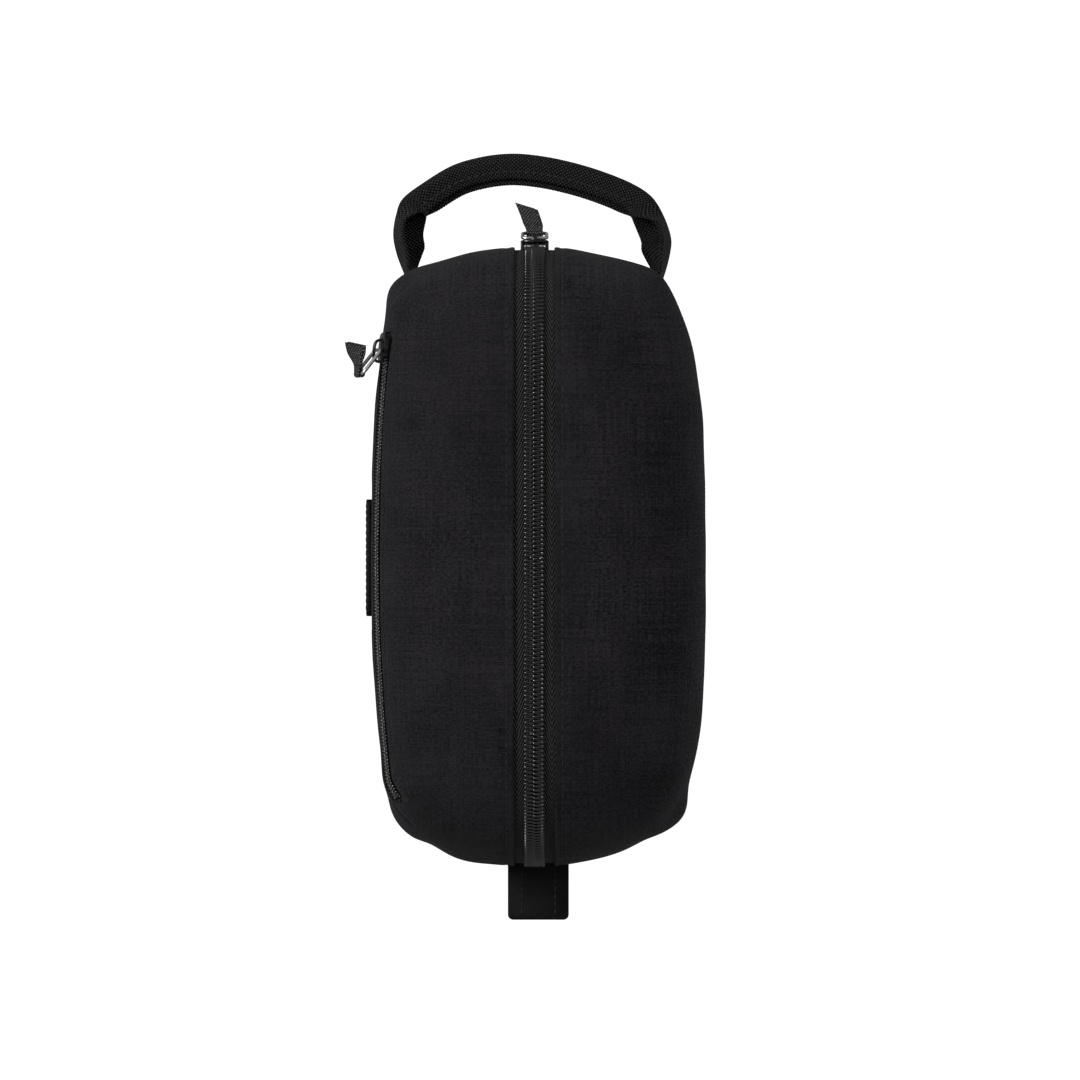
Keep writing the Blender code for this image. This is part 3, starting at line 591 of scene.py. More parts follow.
def turned_under(points, normals, plain, cloth, faces, radius, reach, on_edge, toward):
    """Rolls the boundary edges that pass on_edge over towards the zip and back under the piece."""
    fits = on_edge(plain)
    edges = [(a, b) for a, b in boundary_edges(faces) if fits[a] and fits[b]]
    if not edges:
        return points, normals, plain, cloth, faces
    rim = sorted({i for edge in edges for i in edge})
    place = {old: i for i, old in enumerate(rim)}
    e, n = points[rim], normals[rim]
    t = toward(plain[rim])
    t = unit(t - n * np.sum(t * n, axis=1, keepdims=True))
    layers = []
    for angle in np.radians([30, 60, 90, 120, 150, 180]):
        layers.append(e + t * radius * math.sin(angle) + n * radius * (math.cos(angle) - 1))
    for share in (0.35, 1.0):
        layers.append(e - n * 2 * radius - t * reach * share)
    count = len(points)
    indices = [np.array(rim)] + [count + k * len(rim) + np.arange(len(rim)) for k in range(len(layers))]
    for k in range(len(layers)):
        here, there = indices[k], indices[k + 1]
        for a, b in ((place[a], place[b]) for a, b in edges):
            faces.append((int(here[b]), int(here[a]), int(there[a]), int(there[b])))
    points = np.concatenate([points, *layers])
    normals = np.concatenate([normals] + [n] * len(layers))
    plain = np.concatenate([plain] + [plain[rim] + 1e6] * len(layers))
    shift = [cloth[rim] + 0.4 * (k + 1) for k in range(len(layers))]
    cloth = np.concatenate([cloth, *shift])
    return points, normals, plain, cloth, faces


# ---------------------------------------------------------------- materials


def add_node(tree, kind, inputs=None, **settings):
    node = tree.nodes.new(kind)
    for key, value in settings.items():
        setattr(node, key, value)
    for key, value in (inputs or {}).items():
        if isinstance(value, bpy.types.NodeSocket):
            tree.links.new(value, node.inputs[key])
        else:
            node.inputs[key].default_value = value
    return node


def calc(tree, operation, a, b=0.0):
    return add_node(tree, "ShaderNodeMath", {0: a, 1: b}, operation=operation).outputs[0]


def weighted(tree, *terms):
    """The sum of (value, weight) terms."""
    total = None
    for value, weight in terms:
        part = value if weight == 1 else calc(tree, "MULTIPLY", value, weight)
        total = part if total is None else calc(tree, "ADD", total, part)
    return total


def object_place(tree):
    return add_node(tree, "ShaderNodeTexCoord").outputs["Object"]


def remap(tree, value, low, high, to_low, to_high):
    inputs = {"Value": value, "From Min": low, "From Max": high, "To Min": to_low, "To Max": to_high}
    return add_node(tree, "ShaderNodeMapRange", inputs).outputs[0]


def noise_node(tree, vector, scale, detail=2.0, roughness=0.5):
    inputs = {"Vector": vector, "Scale": scale, "Detail": detail, "Roughness": roughness}
    return add_node(tree, "ShaderNodeTexNoise", inputs).outputs["Fac"]


def stretched(tree, vector, x, y, z=1.0):
    scaled = add_node(tree, "ShaderNodeVectorMath", {0: vector, 1: (x, y, z)}, operation="MULTIPLY")
    return scaled.outputs[0]


def wave_of(tree, value, pitch, phase=0.0):
    """A sine from -1 to 1 that repeats every pitch."""
    turn = calc(tree, "MULTIPLY", value, 2 * math.pi / pitch)
    return calc(tree, "SINE", calc(tree, "ADD", turn, phase))


def shades(tree, factor, stops):
    ramp = add_node(tree, "ShaderNodeValToRGB", {"Fac": factor})
    elements = ramp.color_ramp.elements
    while len(elements) < len(stops):
        elements.new(0.5)
    for element, (place, colour) in zip(elements, stops):
        element.position = place
        element.color = (*colour, 1)
    return ramp.outputs["Color"]


def mixed(tree, factor, a, b):
    node = add_node(tree, "ShaderNodeMix", {0: factor}, data_type="RGBA")
    for socket, value in ((node.inputs[6], a), (node.inputs[7], b)):
        if isinstance(value, bpy.types.NodeSocket):
            tree.links.new(value, socket)
        else:
            socket.default_value = (*value, 1)
    return node.outputs[2]


def new_material(name, **sockets):
    """(material, its tree, its shader), with constant values on the shader's own sockets."""
    made = bpy.data.materials.new(name)
    made.use_nodes = True
    shader = made.node_tree.nodes["Principled BSDF"]
    for key, value in sockets.items():
        shader.inputs[key.replace("_", " ")].default_value = value
    return made, made.node_tree, shader


def finish_with(tree, shader, colour, roughness, height, distance):
    tree.links.new(colour, shader.inputs["Base Color"])
    if roughness is not None:
        tree.links.new(roughness, shader.inputs["Roughness"])
    bump = add_node(tree, "ShaderNodeBump", {"Strength": 1.0, "Distance": distance * MM, "Height": height})
    tree.links.new(bump.outputs[0], shader.inputs["Normal"])


def cloth_place(tree, on_cad=False):
    """The weave coordinates, in millimetres: the vector, and its two parts.

    A CAD node has no cloth attribute, so its own coordinates stand in.
    """
    if on_cad:
        vector = stretched(tree, object_place(tree), 1000, 1000, 1000)
    else:
        vector = add_node(tree, "ShaderNodeAttribute", attribute_name="cloth").outputs["Vector"]
    parts = add_node(tree, "ShaderNodeSeparateXYZ", {0: vector}).outputs
    return vector, parts[0], parts[1]


def woven_material(name, pitch, dark, light, fleck, sheen):
    """A plain weave: threads that pass over and under each other, uneven threads, and pale flecks."""
    made, tree, shader = new_material(name, Roughness=0.86, Specular_IOR_Level=0.1, Sheen_Weight=sheen)
    shader.inputs["Sheen Roughness"].default_value = 0.6
    vector, u, v = cloth_place(tree)
    wobble = noise_node(tree, vector, 0.35, 2)
    u = weighted(tree, (u, 1), (wobble, pitch))
    over = calc(tree, "MULTIPLY", wave_of(tree, u, 2 * pitch), wave_of(tree, v, 2 * pitch))
    warp = noise_node(tree, stretched(tree, vector, 0.9 / pitch, 0.03), 1.0, 3)
    weft = noise_node(tree, stretched(tree, vector, 0.03, 0.9 / pitch), 1.0, 3)
    threads = calc(tree, "ADD", warp, weft)
    patches = noise_node(tree, vector, 0.03, 3)
    slubs = noise_node(tree, stretched(tree, vector, 1.5, 0.9), 0.75, 5, 0.7)
    tone = weighted(tree, (over, 0.14), (threads, 0.3), (patches, 0.2), (slubs, 0.75))
    colour = shades(tree, tone, ((0.76, dark), (0.82, light)))
    spots = stretched(tree, vector, 1.0, 1.6)
    cells = add_node(tree, "ShaderNodeTexVoronoi", {"Vector": spots, "Scale": 0.75})
    near = calc(tree, "LESS_THAN", cells.outputs["Distance"], 0.2)
    picked = add_node(tree, "ShaderNodeSeparateXYZ", {0: cells.outputs["Color"]}).outputs[0]
    speck = calc(tree, "MULTIPLY", near, calc(tree, "GREATER_THAN", picked, 0.92))
    colour = mixed(tree, calc(tree, "MULTIPLY", speck, 0.35), colour, fleck)
    height = weighted(tree, (over, 0.5), (threads, 0.8))
    finish_with(tree, shader, colour, remap(tree, threads, 0.6, 1.4, 0.75, 0.95), height, pitch * 0.22)
    return made


def webbing_material(name, rib, column, dark, light, on_cad=False):
    """Webbing: ribs across its length, broken into knuckles by the threads that run along it."""
    made, tree, shader = new_material(name, Specular_IOR_Level=0.08, Sheen_Weight=0.005)
    vector, along, across = cloth_place(tree, on_cad)
    knuckle = calc(tree, "MULTIPLY", wave_of(tree, along, 2 * rib), wave_of(tree, across, 2 * column))
    ribs = wave_of(tree, along, rib)
    height = weighted(tree, (knuckle, 0.6), (ribs, 0.3))
    fuzz = noise_node(tree, vector, 1.3, 4)
    tone = weighted(tree, (height, 0.55), (fuzz, 1))
    colour = shades(tree, tone, ((0.56, dark), (0.74, light)))
    height = weighted(tree, (height, 1), (fuzz, 0.5))
    finish_with(tree, shader, colour, remap(tree, fuzz, 0.3, 0.7, 0.55, 0.8), height, 0.28)
    return made


def tape_material():
    """Zip tape: a herringbone whose slanted lines lean away from the coil."""
    made, tree, shader = new_material("zip_tape", Specular_IOR_Level=0.12, Sheen_Weight=0.01)
    vector, along, across = cloth_place(tree)
    from_middle = calc(tree, "ABSOLUTE", calc(tree, "SUBTRACT", calc(tree, "ABSOLUTE", across), 7.0))
    lines = wave_of(tree, weighted(tree, (along, 1), (from_middle, 2.4)), 2.5)
    yarn = wave_of(tree, along, 0.5)
    fuzz = noise_node(tree, vector, 1.6, 3)
    tone = weighted(tree, (lines, 0.34), (fuzz, 1))
    colour = shades(tree, tone, ((0.36, (0.0003, 0.0003, 0.0004)), (0.8, (0.028, 0.028, 0.028))))
    height = weighted(tree, (lines, 1), (yarn, 0.25))
    finish_with(tree, shader, colour, remap(tree, fuzz, 0.3, 0.7, 0.6, 0.85), height, 0.26)
    return made


def plastic_material(name, dark, light, low, high):
    """Drawn nylon: nearly smooth, with scuffs."""
    made, tree, shader = new_material(name, Specular_IOR_Level=0.5, IOR=1.7)
    vector = object_place(tree)
    scuff = noise_node(tree, vector, 900, 3)
    grain = noise_node(tree, vector, 3500, 2)
    colour = shades(tree, scuff, ((0.3, dark), (0.75, light)))
    finish_with(tree, shader, colour, remap(tree, scuff, 0.3, 0.7, low, high), grain, 0.02)
    return made


def metal_material(name, dark, light, low, high):
    """Plated metal: brushed by wear, with brighter rubbed patches."""
    made, tree, shader = new_material(name, Metallic=1.0)
    vector = object_place(tree)
    rubbed = noise_node(tree, vector, 420, 5, 0.6)
    scratch = noise_node(tree, stretched(tree, vector, 1, 1, 6), 1500, 3)
    colour = shades(tree, rubbed, ((0.35, dark), (0.7, light)))
    finish_with(tree, shader, colour, remap(tree, rubbed, 0.3, 0.7, high, low), scratch, 0.02)
    return made


def leather_material():
    made, tree, shader = new_material("black_leather", Specular_IOR_Level=0.1)
    vector = object_place(tree)
    inputs = {"Vector": vector, "Scale": 1400.0}
    cells = add_node(tree, "ShaderNodeTexVoronoi", inputs, feature="DISTANCE_TO_EDGE")
    crease = calc(tree, "MINIMUM", cells.outputs["Distance"], 0.18)
    pores = noise_node(tree, vector, 2600, 3)
    worn = noise_node(tree, vector, 130, 4)
    height = weighted(tree, (crease, 3.0), (pores, 0.4))
    tone = weighted(tree, (worn, 0.7), (crease, 1.2))
    colour = shades(tree, tone, ((0.3, (0.0012, 0.0012, 0.0013)), (0.75, (0.0036, 0.0035, 0.0035))))
    finish_with(tree, shader, colour, remap(tree, worn, 0.3, 0.7, 0.42, 0.62), height, 0.07)
    return made


def board_material():
    made, tree, shader = new_material("base_board", Specular_IOR_Level=0.2)
    vector = object_place(tree)
    fibres = noise_node(tree, stretched(tree, vector, 1, 5, 5), 260, 6, 0.7)
    specks = noise_node(tree, vector, 1800, 2)
    tone = weighted(tree, (fibres, 0.7), (specks, 0.3))
    colour = shades(tree, tone, ((0.3, (0.2, 0.185, 0.16)), (0.7, (0.36, 0.34, 0.3))))
    finish_with(tree, shader, colour, remap(tree, fibres, 0.3, 0.7, 0.75, 0.92), tone, 0.1)
    return made


def floor_material():
    made, _, shader = new_material("pale_floor", Roughness=0.9, Specular_IOR_Level=0.0)
    shader.inputs["Base Color"].default_value = (0.1, 0.1, 0.1, 1)
    shader.inputs["Emission Color"].default_value = (1, 1, 1, 1)
    shader.inputs["Emission Strength"].default_value = 1.0
    return made


def build_finishes():
    return {
        "fabric": woven_material(
            "black_cloth", 0.45,
            (0.0004, 0.0003, 0.0005), (0.0108, 0.0097, 0.0122), (0.03, 0.028, 0.031), 0.01,
        ),
        "lining": woven_material(
            "grey_lining", 0.3, (0.06, 0.06, 0.066), (0.12, 0.12, 0.13), (0.16, 0.16, 0.17), 0.1
        ),
        "webbing": webbing_material(
            "black_webbing", 0.9, 0.75, (0.0002, 0.0002, 0.0002), (0.022, 0.022, 0.022)
        ),
        "ribbon": webbing_material("black_ribbon", 0.8, 0.6, (0.004, 0.004, 0.0042), (0.075, 0.074, 0.072)),
        "thread": webbing_material("black_thread", 0.45, 0.3, (0.01, 0.01, 0.0105), (0.045, 0.045, 0.046)),
        "coil": plastic_material("black_coil", (0.0015, 0.0015, 0.0016), (0.004, 0.004, 0.0042), 0.12, 0.22),
        "tape": tape_material(),
        "metal": metal_material("gunmetal", (0.018, 0.018, 0.019), (0.075, 0.075, 0.078), 0.22, 0.4),
        "wire": metal_material("bright_wire", (0.35, 0.35, 0.355), (0.85, 0.85, 0.86), 0.2, 0.36),
        "leather": leather_material(),
        "binding": webbing_material(
            "binding_tape", 1.1, 0.85, (0.003, 0.003, 0.0032), (0.04, 0.04, 0.04), on_cad=True
        ),
        "board": board_material(),
    }


# ---------------------------------------------------------------- the stage


def build_stage():
    corners = [(x * 3000, y * 3000, -0.05) for x, y in ((-1, -1), (1, -1), (1, 1), (-1, 1))]
    plane = make_object("floor", corners, [(0, 1, 2, 3)], floor_material())
    plane.visible_glossy = False
    world = bpy.context.scene.world or bpy.data.worlds.new("studio")
    bpy.context.scene.world = world
    world.use_nodes = True
    background = world.node_tree.nodes["Background"]
    background.inputs["Color"].default_value = (1, 1, 1, 1)
    background.inputs["Strength"].default_value = 0.3
    for name, place, size, watts in (
        ("key", (-450, -1000, 1000), 520, 29),
        ("fill", (-450, 1000, 1050), 1100, 21),
    ):
        light = bpy.data.lights.new(name, "AREA")
        light.size = size * MM
        light.energy = watts
        obj = bpy.data.objects.new(name, light)
        obj.visible_glossy = name == "key"
        obj.location = Vector(place) * MM
        aim = Vector((0, 0, 0.09)) - obj.location
        obj.rotation_euler = aim.to_track_quat("-Z", "Y").to_euler()
        bpy.context.scene.collection.objects.link(obj)


def build_camera():
    """Straight above the bag, with its handle end at the top of the picture."""
    data = bpy.data.cameras.new("camera")
    data.sensor_width = 36
    data.lens = 101.3
    data.clip_end = 10
    camera = bpy.data.objects.new("camera", data)
    camera.location = Vector((-7.3, 2.2, HEIGHT + 1200)) * MM
    camera.rotation_euler = (0, 0, math.pi / 2)
    bpy.context.scene.collection.objects.link(camera)
    bpy.context.scene.camera = camera
    bpy.context.scene.view_settings.view_transform = "Standard"


# ---------------------------------------------------------------- attaching pieces


def mouth_bend(side, sign):
    """For one half of a mouth piece: its flap's name and the two |x| of MOUTH_BEND on that half's side."""
    return f"{side}_flap", *(sign * reach for reach in MOUTH_BEND)


def pocket_bend(end_name):
    return "pocket_flap", *POCKET_BEND[end_name]


def settle(obj, slot, *nodes, body="root", bend=None):
    """Parents a piece to its body, or when bend is given bakes its place into its mesh instead, and hides the
    CAD nodes that it stands for. slot is not used.

    bend is (body, start x, end x) for a piece that lies between the root and that body; only whether it is
    given is used.
    """
    if bend:
        moving, start, end = bend
        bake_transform(obj)
    else:
        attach(obj, body)
    if nodes:
        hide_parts(*nodes)


SIDES = (("front", -1), ("back", 1))
ENDS = (("handle", -1), ("tab", 1))


# ---------------------------------------------------------------- the cloth


def mouth_cuts(foot, stations):
    """The cuts round the mouth's two flaps, for a layer whose flaps are above a height."""
    def across(c):
        return c.z > foot and abs(c.y) < 50

    def along(c):
        return c.z > foot and abs(c.x) < FLAP_HALF

    cuts = [((x, 0, 0), (1, 0, 0), across) for x in stations]
    return cuts + [((0, s * HINGE_Y, 0), (0, 1, 0), along) for s in (-1, 1)]


def cloth_cuts():
    def corner(sx, sy):
        return lambda c: BASE_SEAM < c.z < 53 and c.x * sx > 90 and c.y * sy > 20

    def in_wedge(c):
        return abs(c.y) < CORNER_SLOPE * abs(c.x) and c.z < 60 and abs(c.x) > 90

    def front(c):
        return c.y < -CORNER_SLOPE * abs(c.x) and 70 < c.z < 106 and c.y < -40

    slot = SLOT_HALF + SLOT_ROLL
    cuts = [((0, s * slot, 0), (0, 1, 0), lambda c: c.z > 40) for s in (-1, 1)]
    cuts += mouth_cuts(FLAP_FOOT, (-FLAP_HALF, FLAP_HALF, 0))
    cuts.append(((0, 0, BASE_SEAM), (0, 0, 1), lambda c: True))
    for sx in (-1, 1):
        for sy in (-1, 1):
            cuts.append(((0, 0, 0), (CORNER_SLOPE * sx, -sy, 0), corner(sx, sy)))
    cuts.append(((0, 0, END_SEAM), (0, 0, 1), in_wedge))
    cuts += [((0, 0, z), (0, 0, 1), front) for z in (POCKET_FOOT - POCKET_ROLL, POCKET_HEAD + POCKET_ROLL)]
    cuts += [((x, 0, 0), (1, 0, 0), front) for x in POCKET_SPAN]
    cuts.append(((POCKET_MIDDLE, 0, 0), (1, 0, 0), lambda c: c.y < -40 and BASE_SEAM < c.z < POCKET_FOOT))
    return cuts


def pocket_roll(edge, turn):
    """The roll of a long edge of the pocket's window, at a height. turn is -1 for down and 1 for up."""
    def on_edge(p):
        x, y, z = p.T
        within = (x > POCKET_SPAN[0] - FABRIC_EDGE) & (x < POCKET_SPAN[1] + FABRIC_EDGE) & (y < -40)
        return (np.abs(z - edge) < FABRIC_EDGE) & within

    return POCKET_ROLL, 3.0, on_edge, lambda p: p * 0 + (0, 0, turn)


def mouth_pieces(shell, kind, flap, *making):
    """The four pieces of a layer of the mouth: (piece, side, end's sign)."""
    x, y, _ = shell.centres.T
    for side, sign in SIDES:
        for end_name, end_sign in ENDS:
            mask = flap & (y * sign > 0) & (x * end_sign > 0)
            yield shell.piece(f"{side}_mouth_{kind}_{end_name}_half", mask, *making), side, end_sign


def build_cloth(finishes):
    points, faces = body_grid(0.0, 620, 84, 44)
    shell = Shell(points, faces, cloth_cuts(), relief_of)
    x, y, z = shell.centres.T
    cloth = finishes["fabric"]
    slot = SLOT_HALF + SLOT_ROLL
    wedge = np.abs(y) < CORNER_SLOPE * np.abs(x)
    lower_end = wedge & (z < END_SEAM) & (z > BASE_SEAM)
    front_side = (y < 0) & ~wedge & (z > BASE_SEAM)
    pocket_edge, top_edge = POCKET_FOOT - POCKET_ROLL, POCKET_HEAD + POCKET_ROLL
    pocket = front_side & (z < pocket_edge)
    window = front_side & (z > pocket_edge) & (z < top_edge) & (x > POCKET_SPAN[0]) & (x < POCKET_SPAN[1])
    flap = (np.abs(x) < FLAP_HALF) & (np.abs(y) < HINGE_Y) & (z > FLAP_FOOT)
    gap = (np.abs(y) < slot) & (z > END_SEAM)
    above = (z > BASE_SEAM) & ~lower_end & ~gap & ~flap

    def slot_edge(p):
        return np.abs(np.abs(p[:, 1]) - slot) < FABRIC_EDGE

    def to_slot(p):
        return np.column_stack([0 * p[:, 0], -np.sign(p[:, 1]), 0 * p[:, 0]])

    slot_roll = (SLOT_ROLL, 5.5, slot_edge, to_slot)
    for name, mask, node, rolls in (
        ("base_cloth", z < BASE_SEAM, "base_panel", ()),
        ("handle_end_lower_cloth", lower_end & (x < 0), "handle_end_lower_panel", ()),
        ("tab_end_lower_cloth", lower_end & (x > 0), "tab_end_lower_panel", ()),
        ("back_cloth", above & (y > 0), "back_panel", [slot_roll]),
        (
            "front_top_cloth", above & (y < 0) & ~pocket & ~window, "front_top_panel",
            [slot_roll, pocket_roll(top_edge, -1)],
        ),
    ):
        settle(shell.piece(name, mask, cloth, CLOTH_THICK, rolls), "fabric", node)
    for obj, side, sign in mouth_pieces(shell, "cloth", flap & ~gap, cloth, CLOTH_THICK, [slot_roll]):
        settle(obj, "fabric", f"{side}_mouth_panel", bend=mouth_bend(side, sign))
    for end_name, end_sign in ENDS:
        mask = pocket & ((x - POCKET_MIDDLE) * end_sign > 0)
        rolls = [pocket_roll(pocket_edge, 1)]
        obj = shell.piece(f"pocket_cloth_{end_name}_half", mask, cloth, CLOTH_THICK, rolls)
        nodes = ("pocket_panel", f"pocket_panel_{end_name}_side")
        settle(obj, "fabric", *nodes, bend=pocket_bend(end_name))


def lining_relief(points):
    calm = smooth((np.abs(points[:, 1]) - 12) / 12)
    slack = 0.5 * sampled_noise(points, 24, 5) + 0.3 * sampled_noise(points, 9, 6)
    return calm * slack - 0.4


def build_lining(finishes):
    points, faces = body_grid(LINING_INSET, 300, 46, 24, pocketed=True)
    cuts = [((0, s * LINING_SLOT, 0), (0, 1, 0), lambda c: c.z > 30) for s in (-1, 1)]
    cuts.append(((0, 0, LINING_SLOT_FOOT), (0, 0, 1), lambda c: abs(c.y) < 14 and c.z < 60))
    cuts += mouth_cuts(LINING_FLAP_FOOT, (-FLAP_HALF, 0, FLAP_HALF))
    shell = Shell(points, faces, cuts, lining_relief)
    x, y, z = shell.centres.T
    flap = (np.abs(x) < FLAP_HALF) & (np.abs(y) < HINGE_Y) & (z > LINING_FLAP_FOOT)
    gap = (np.abs(y) < LINING_SLOT) & (z > LINING_SLOT_FOOT)
    making = (finishes["lining"], LINING_THICK)
    settle(shell.piece("lining_cloth", ~flap & ~gap, *making), "lining", "lining")
    for obj, side, sign in mouth_pieces(shell, "lining", flap & ~gap, *making):
        settle(obj, "lining", f"{side}_mouth_lining", bend=mouth_bend(side, sign))


def build_backing(finishes):
    def corner(s):
        return lambda c: c.y < -30 and c.x * s > 80

    points, faces = body_grid(BACKING_INSET, 260, 40, 24, pocketed=True)
    cuts = [((0, 0, z), (0, 0, 1), lambda c: c.y < -20) for z in BACKING_SPAN]
    cuts += [((0, -4, 0), (CORNER_SLOPE * s, 1, 0), corner(s)) for s in (-1, 1)]
    shell = Shell(points, faces, cuts, lambda p: 0.25 * sampled_noise(p, 14, 8))
    x, y, z = shell.centres.T
    mask = (y < -4 - CORNER_SLOPE * np.abs(x)) & (z > BACKING_SPAN[0]) & (z < BACKING_SPAN[1])
    obj = shell.piece("pocket_backing_cloth", mask, finishes["lining"], LINING_THICK)
    settle(obj, "lining", "pocket_backing")


# ---------------------------------------------------------------- the zips


def main_rail(y, spacing=0.5, handle_foot=TAPE_FOOT, tab_foot=TAPE_FOOT):
    """(points, outward normals) along the plain surface, from the handle end's foot over the top."""
    reach_h = END - y * y / (2 * HANDLE_END_RADIUS)
    reach_t = END - y * y / (2 * TAB_END_RADIUS)
    pieces = []
    z = np.arange(handle_foot, HEIGHT - HANDLE_ROUND, spacing)
    pieces.append((-reach_h + 0 * z, z, math.pi + 0 * z))
    turn = np.linspace(0, math.pi / 2, int(HANDLE_ROUND * 1.57 / spacing))
    x = -reach_h + HANDLE_ROUND * (1 - np.cos(turn))
    pieces.append((x, HEIGHT - HANDLE_ROUND + HANDLE_ROUND * np.sin(turn), math.pi - turn))
    level = int((reach_h + reach_t - HANDLE_ROUND - TAB_ROUND) / spacing)
    x = np.linspace(-reach_h + HANDLE_ROUND, reach_t - TAB_ROUND, level)[1:-1]
    pieces.append((x, HEIGHT + 0 * x, math.pi / 2 + 0 * x))
    turn = np.linspace(0, math.pi / 2, int(TAB_ROUND * 1.57 / spacing))
    x = reach_t - TAB_ROUND + TAB_ROUND * np.sin(turn)
    pieces.append((x, HEIGHT - TAB_ROUND + TAB_ROUND * np.cos(turn), math.pi / 2 - turn))
    z = np.arange(HEIGHT - TAB_ROUND, tab_foot, -spacing)[1:]
    pieces.append((reach_t + 0 * z, z, 0 * z))
    rows = np.column_stack([np.concatenate(column) for column in zip(*pieces)])
    for station in (-FLAP_HALF, 0.0, FLAP_HALF):  # where the pieces of the zip meet
        i = np.searchsorted(rows[:, 0], station)
        share = (station - rows[i - 1, 0]) / (rows[i, 0] - rows[i - 1, 0])
        rows = np.insert(rows, i, rows[i - 1] + (rows[i] - rows[i - 1]) * share, axis=0)
        rows[i, 0] = station
    x, z, angle = rows.T
    points = np.column_stack([x, y + 0 * x, z])
    normals = np.column_stack([np.cos(angle), 0 * x, np.sin(angle)])
    return points, normals


def pocket_rail(low, high, spacing=0.5):
    """(points, up directions, outward normals) along the pocket zip."""
    x = np.linspace(low, high, int((high - low) / spacing) + 1)
    points = np.column_stack([x, pocket_zip_y(x), 0 * x + POCKET_ZIP_Z])
    along = unit(np.gradient(points, axis=0))
    sin, cos = math.sin(POCKET_ZIP_TILT), math.cos(POCKET_ZIP_TILT)
    circle_up = np.column_stack([-along[:, 1] * sin, along[:, 0] * sin, cos + 0 * x])
    rise = side_surface_y(x, POCKET_ZIP_Z + 3) - side_surface_y(x, POCKET_ZIP_Z - 3)
    surface_up = unit(np.column_stack([0 * x, rise, 6 + 0 * x]))
    share = pocket_bend_share(x)[:, None]
    out = unit(np.cross(along, circle_up + (surface_up - circle_up) * share))
    return points, np.cross(out, along), out


def coil_turns(points, across, out, zipper, sign, phase, radius):
    """A continuous filament wound in flattened turns along a rail, its heads reaching past the middle."""
    steps = distances_along(points)
    turns = steps[-1] / zipper["pitch"]
    per_turn = 16
    a = np.arange(0, turns * per_turn) / per_turn
    angle = 2 * math.pi * (a + phase)
    s = zipper["pitch"] * (a + 0.09 * (np.cos(angle) - math.cos(2 * math.pi * phase)))
    inner, outer = 0.75 if sign < 0 else -0.15, zipper["coil"] - radius
    top, foot = zipper["top"] - radius, zipper["foot"] + radius + 0.25
    wide = np.sign(np.cos(angle)) * np.abs(np.cos(angle)) ** 0.75
    tall = np.sign(np.sin(angle)) * np.abs(np.sin(angle)) ** 0.6
    head = smooth((-wide - 0.2) / 0.8)
    c = (inner + outer) / 2 + (outer - inner) / 2 * wide - 0.45 * head * (0.5 - 0.5 * tall)
    h = (top + foot) / 2 + (top - foot) / 2 * tall - 0.24 * bell(c - 0.6 * zipper["coil"], 0.45)
    middle, side, up = (
        np.column_stack([np.interp(s, steps, line[:, k]) for k in range(3)]) for line in (points, across, out)
    )
    path = middle + side * (sign * c)[:, None] + up * h[:, None]
    return tube(path, radius * (1 + 0.25 * smooth((np.abs(wide) - 0.6) / 0.4)), 8)


def tape_strip(points, across, out, zipper, sign):
    low, high = zipper["tape_h"]
    edges = np.linspace(zipper["middle"], zipper["tape"], 9) * sign
    lift = 0.12 * np.cos(np.linspace(0, math.pi, 9))
    section = [(c, high + d) for c, d in zip(edges, lift)]
    section += [(c, low + d) for c, d in zip(edges[::-1], lift[::-1])]
    if sign > 0:
        section = section[::-1]
    return sweep(points, across, out, section)


def coil_cords(points, across, out, zipper, sign):
    """The two rows of thread that sew a coil to its tape, dipping between its turns."""
    pile = Pile()
    steps = distances_along(points)
    lift = 0.1 * np.cos(2 * math.pi * steps / zipper["pitch"])
    for c in (0.4, 0.75):
        height = (zipper["top"] - 0.8 + lift)[:, None]
        pile.add(*tube(points + across * (sign * c * zipper["coil"]) + out * height, 0.26, 6))
    return pile


def coil_pieces(label, rail, zipper, sign, phase, radius, finishes):
    """A side of a zip: its coil, and the thread that sews it to the tape."""
    coil = coil_turns(*rail, zipper, sign, phase, radius)
    turns = make_object(f"{label}_turns", *coil[:2], finishes["coil"])
    return turns, coil_cords(*rail, zipper, sign).make(f"{label}_thread", finishes["thread"])


def tape_piece(label, rail, zipper, sign, finishes):
    points, faces, cloth = tape_strip(*rail, zipper, sign)
    return make_object(f"{label}_strip", points, faces, finishes["tape"], cloth, 40)


def stretches(x):
    """The main zip's stretches: (name, which stations at x are in it, the sign of its mouth half or None)."""
    return (
        ("handle_end", x <= -FLAP_HALF, None),
        ("mouth_handle_half", (x >= -FLAP_HALF) & (x <= 0), -1),
        ("mouth_tab_half", (x >= 0) & (x <= FLAP_HALF), 1),
        ("tab_end", x >= FLAP_HALF, None),
    )


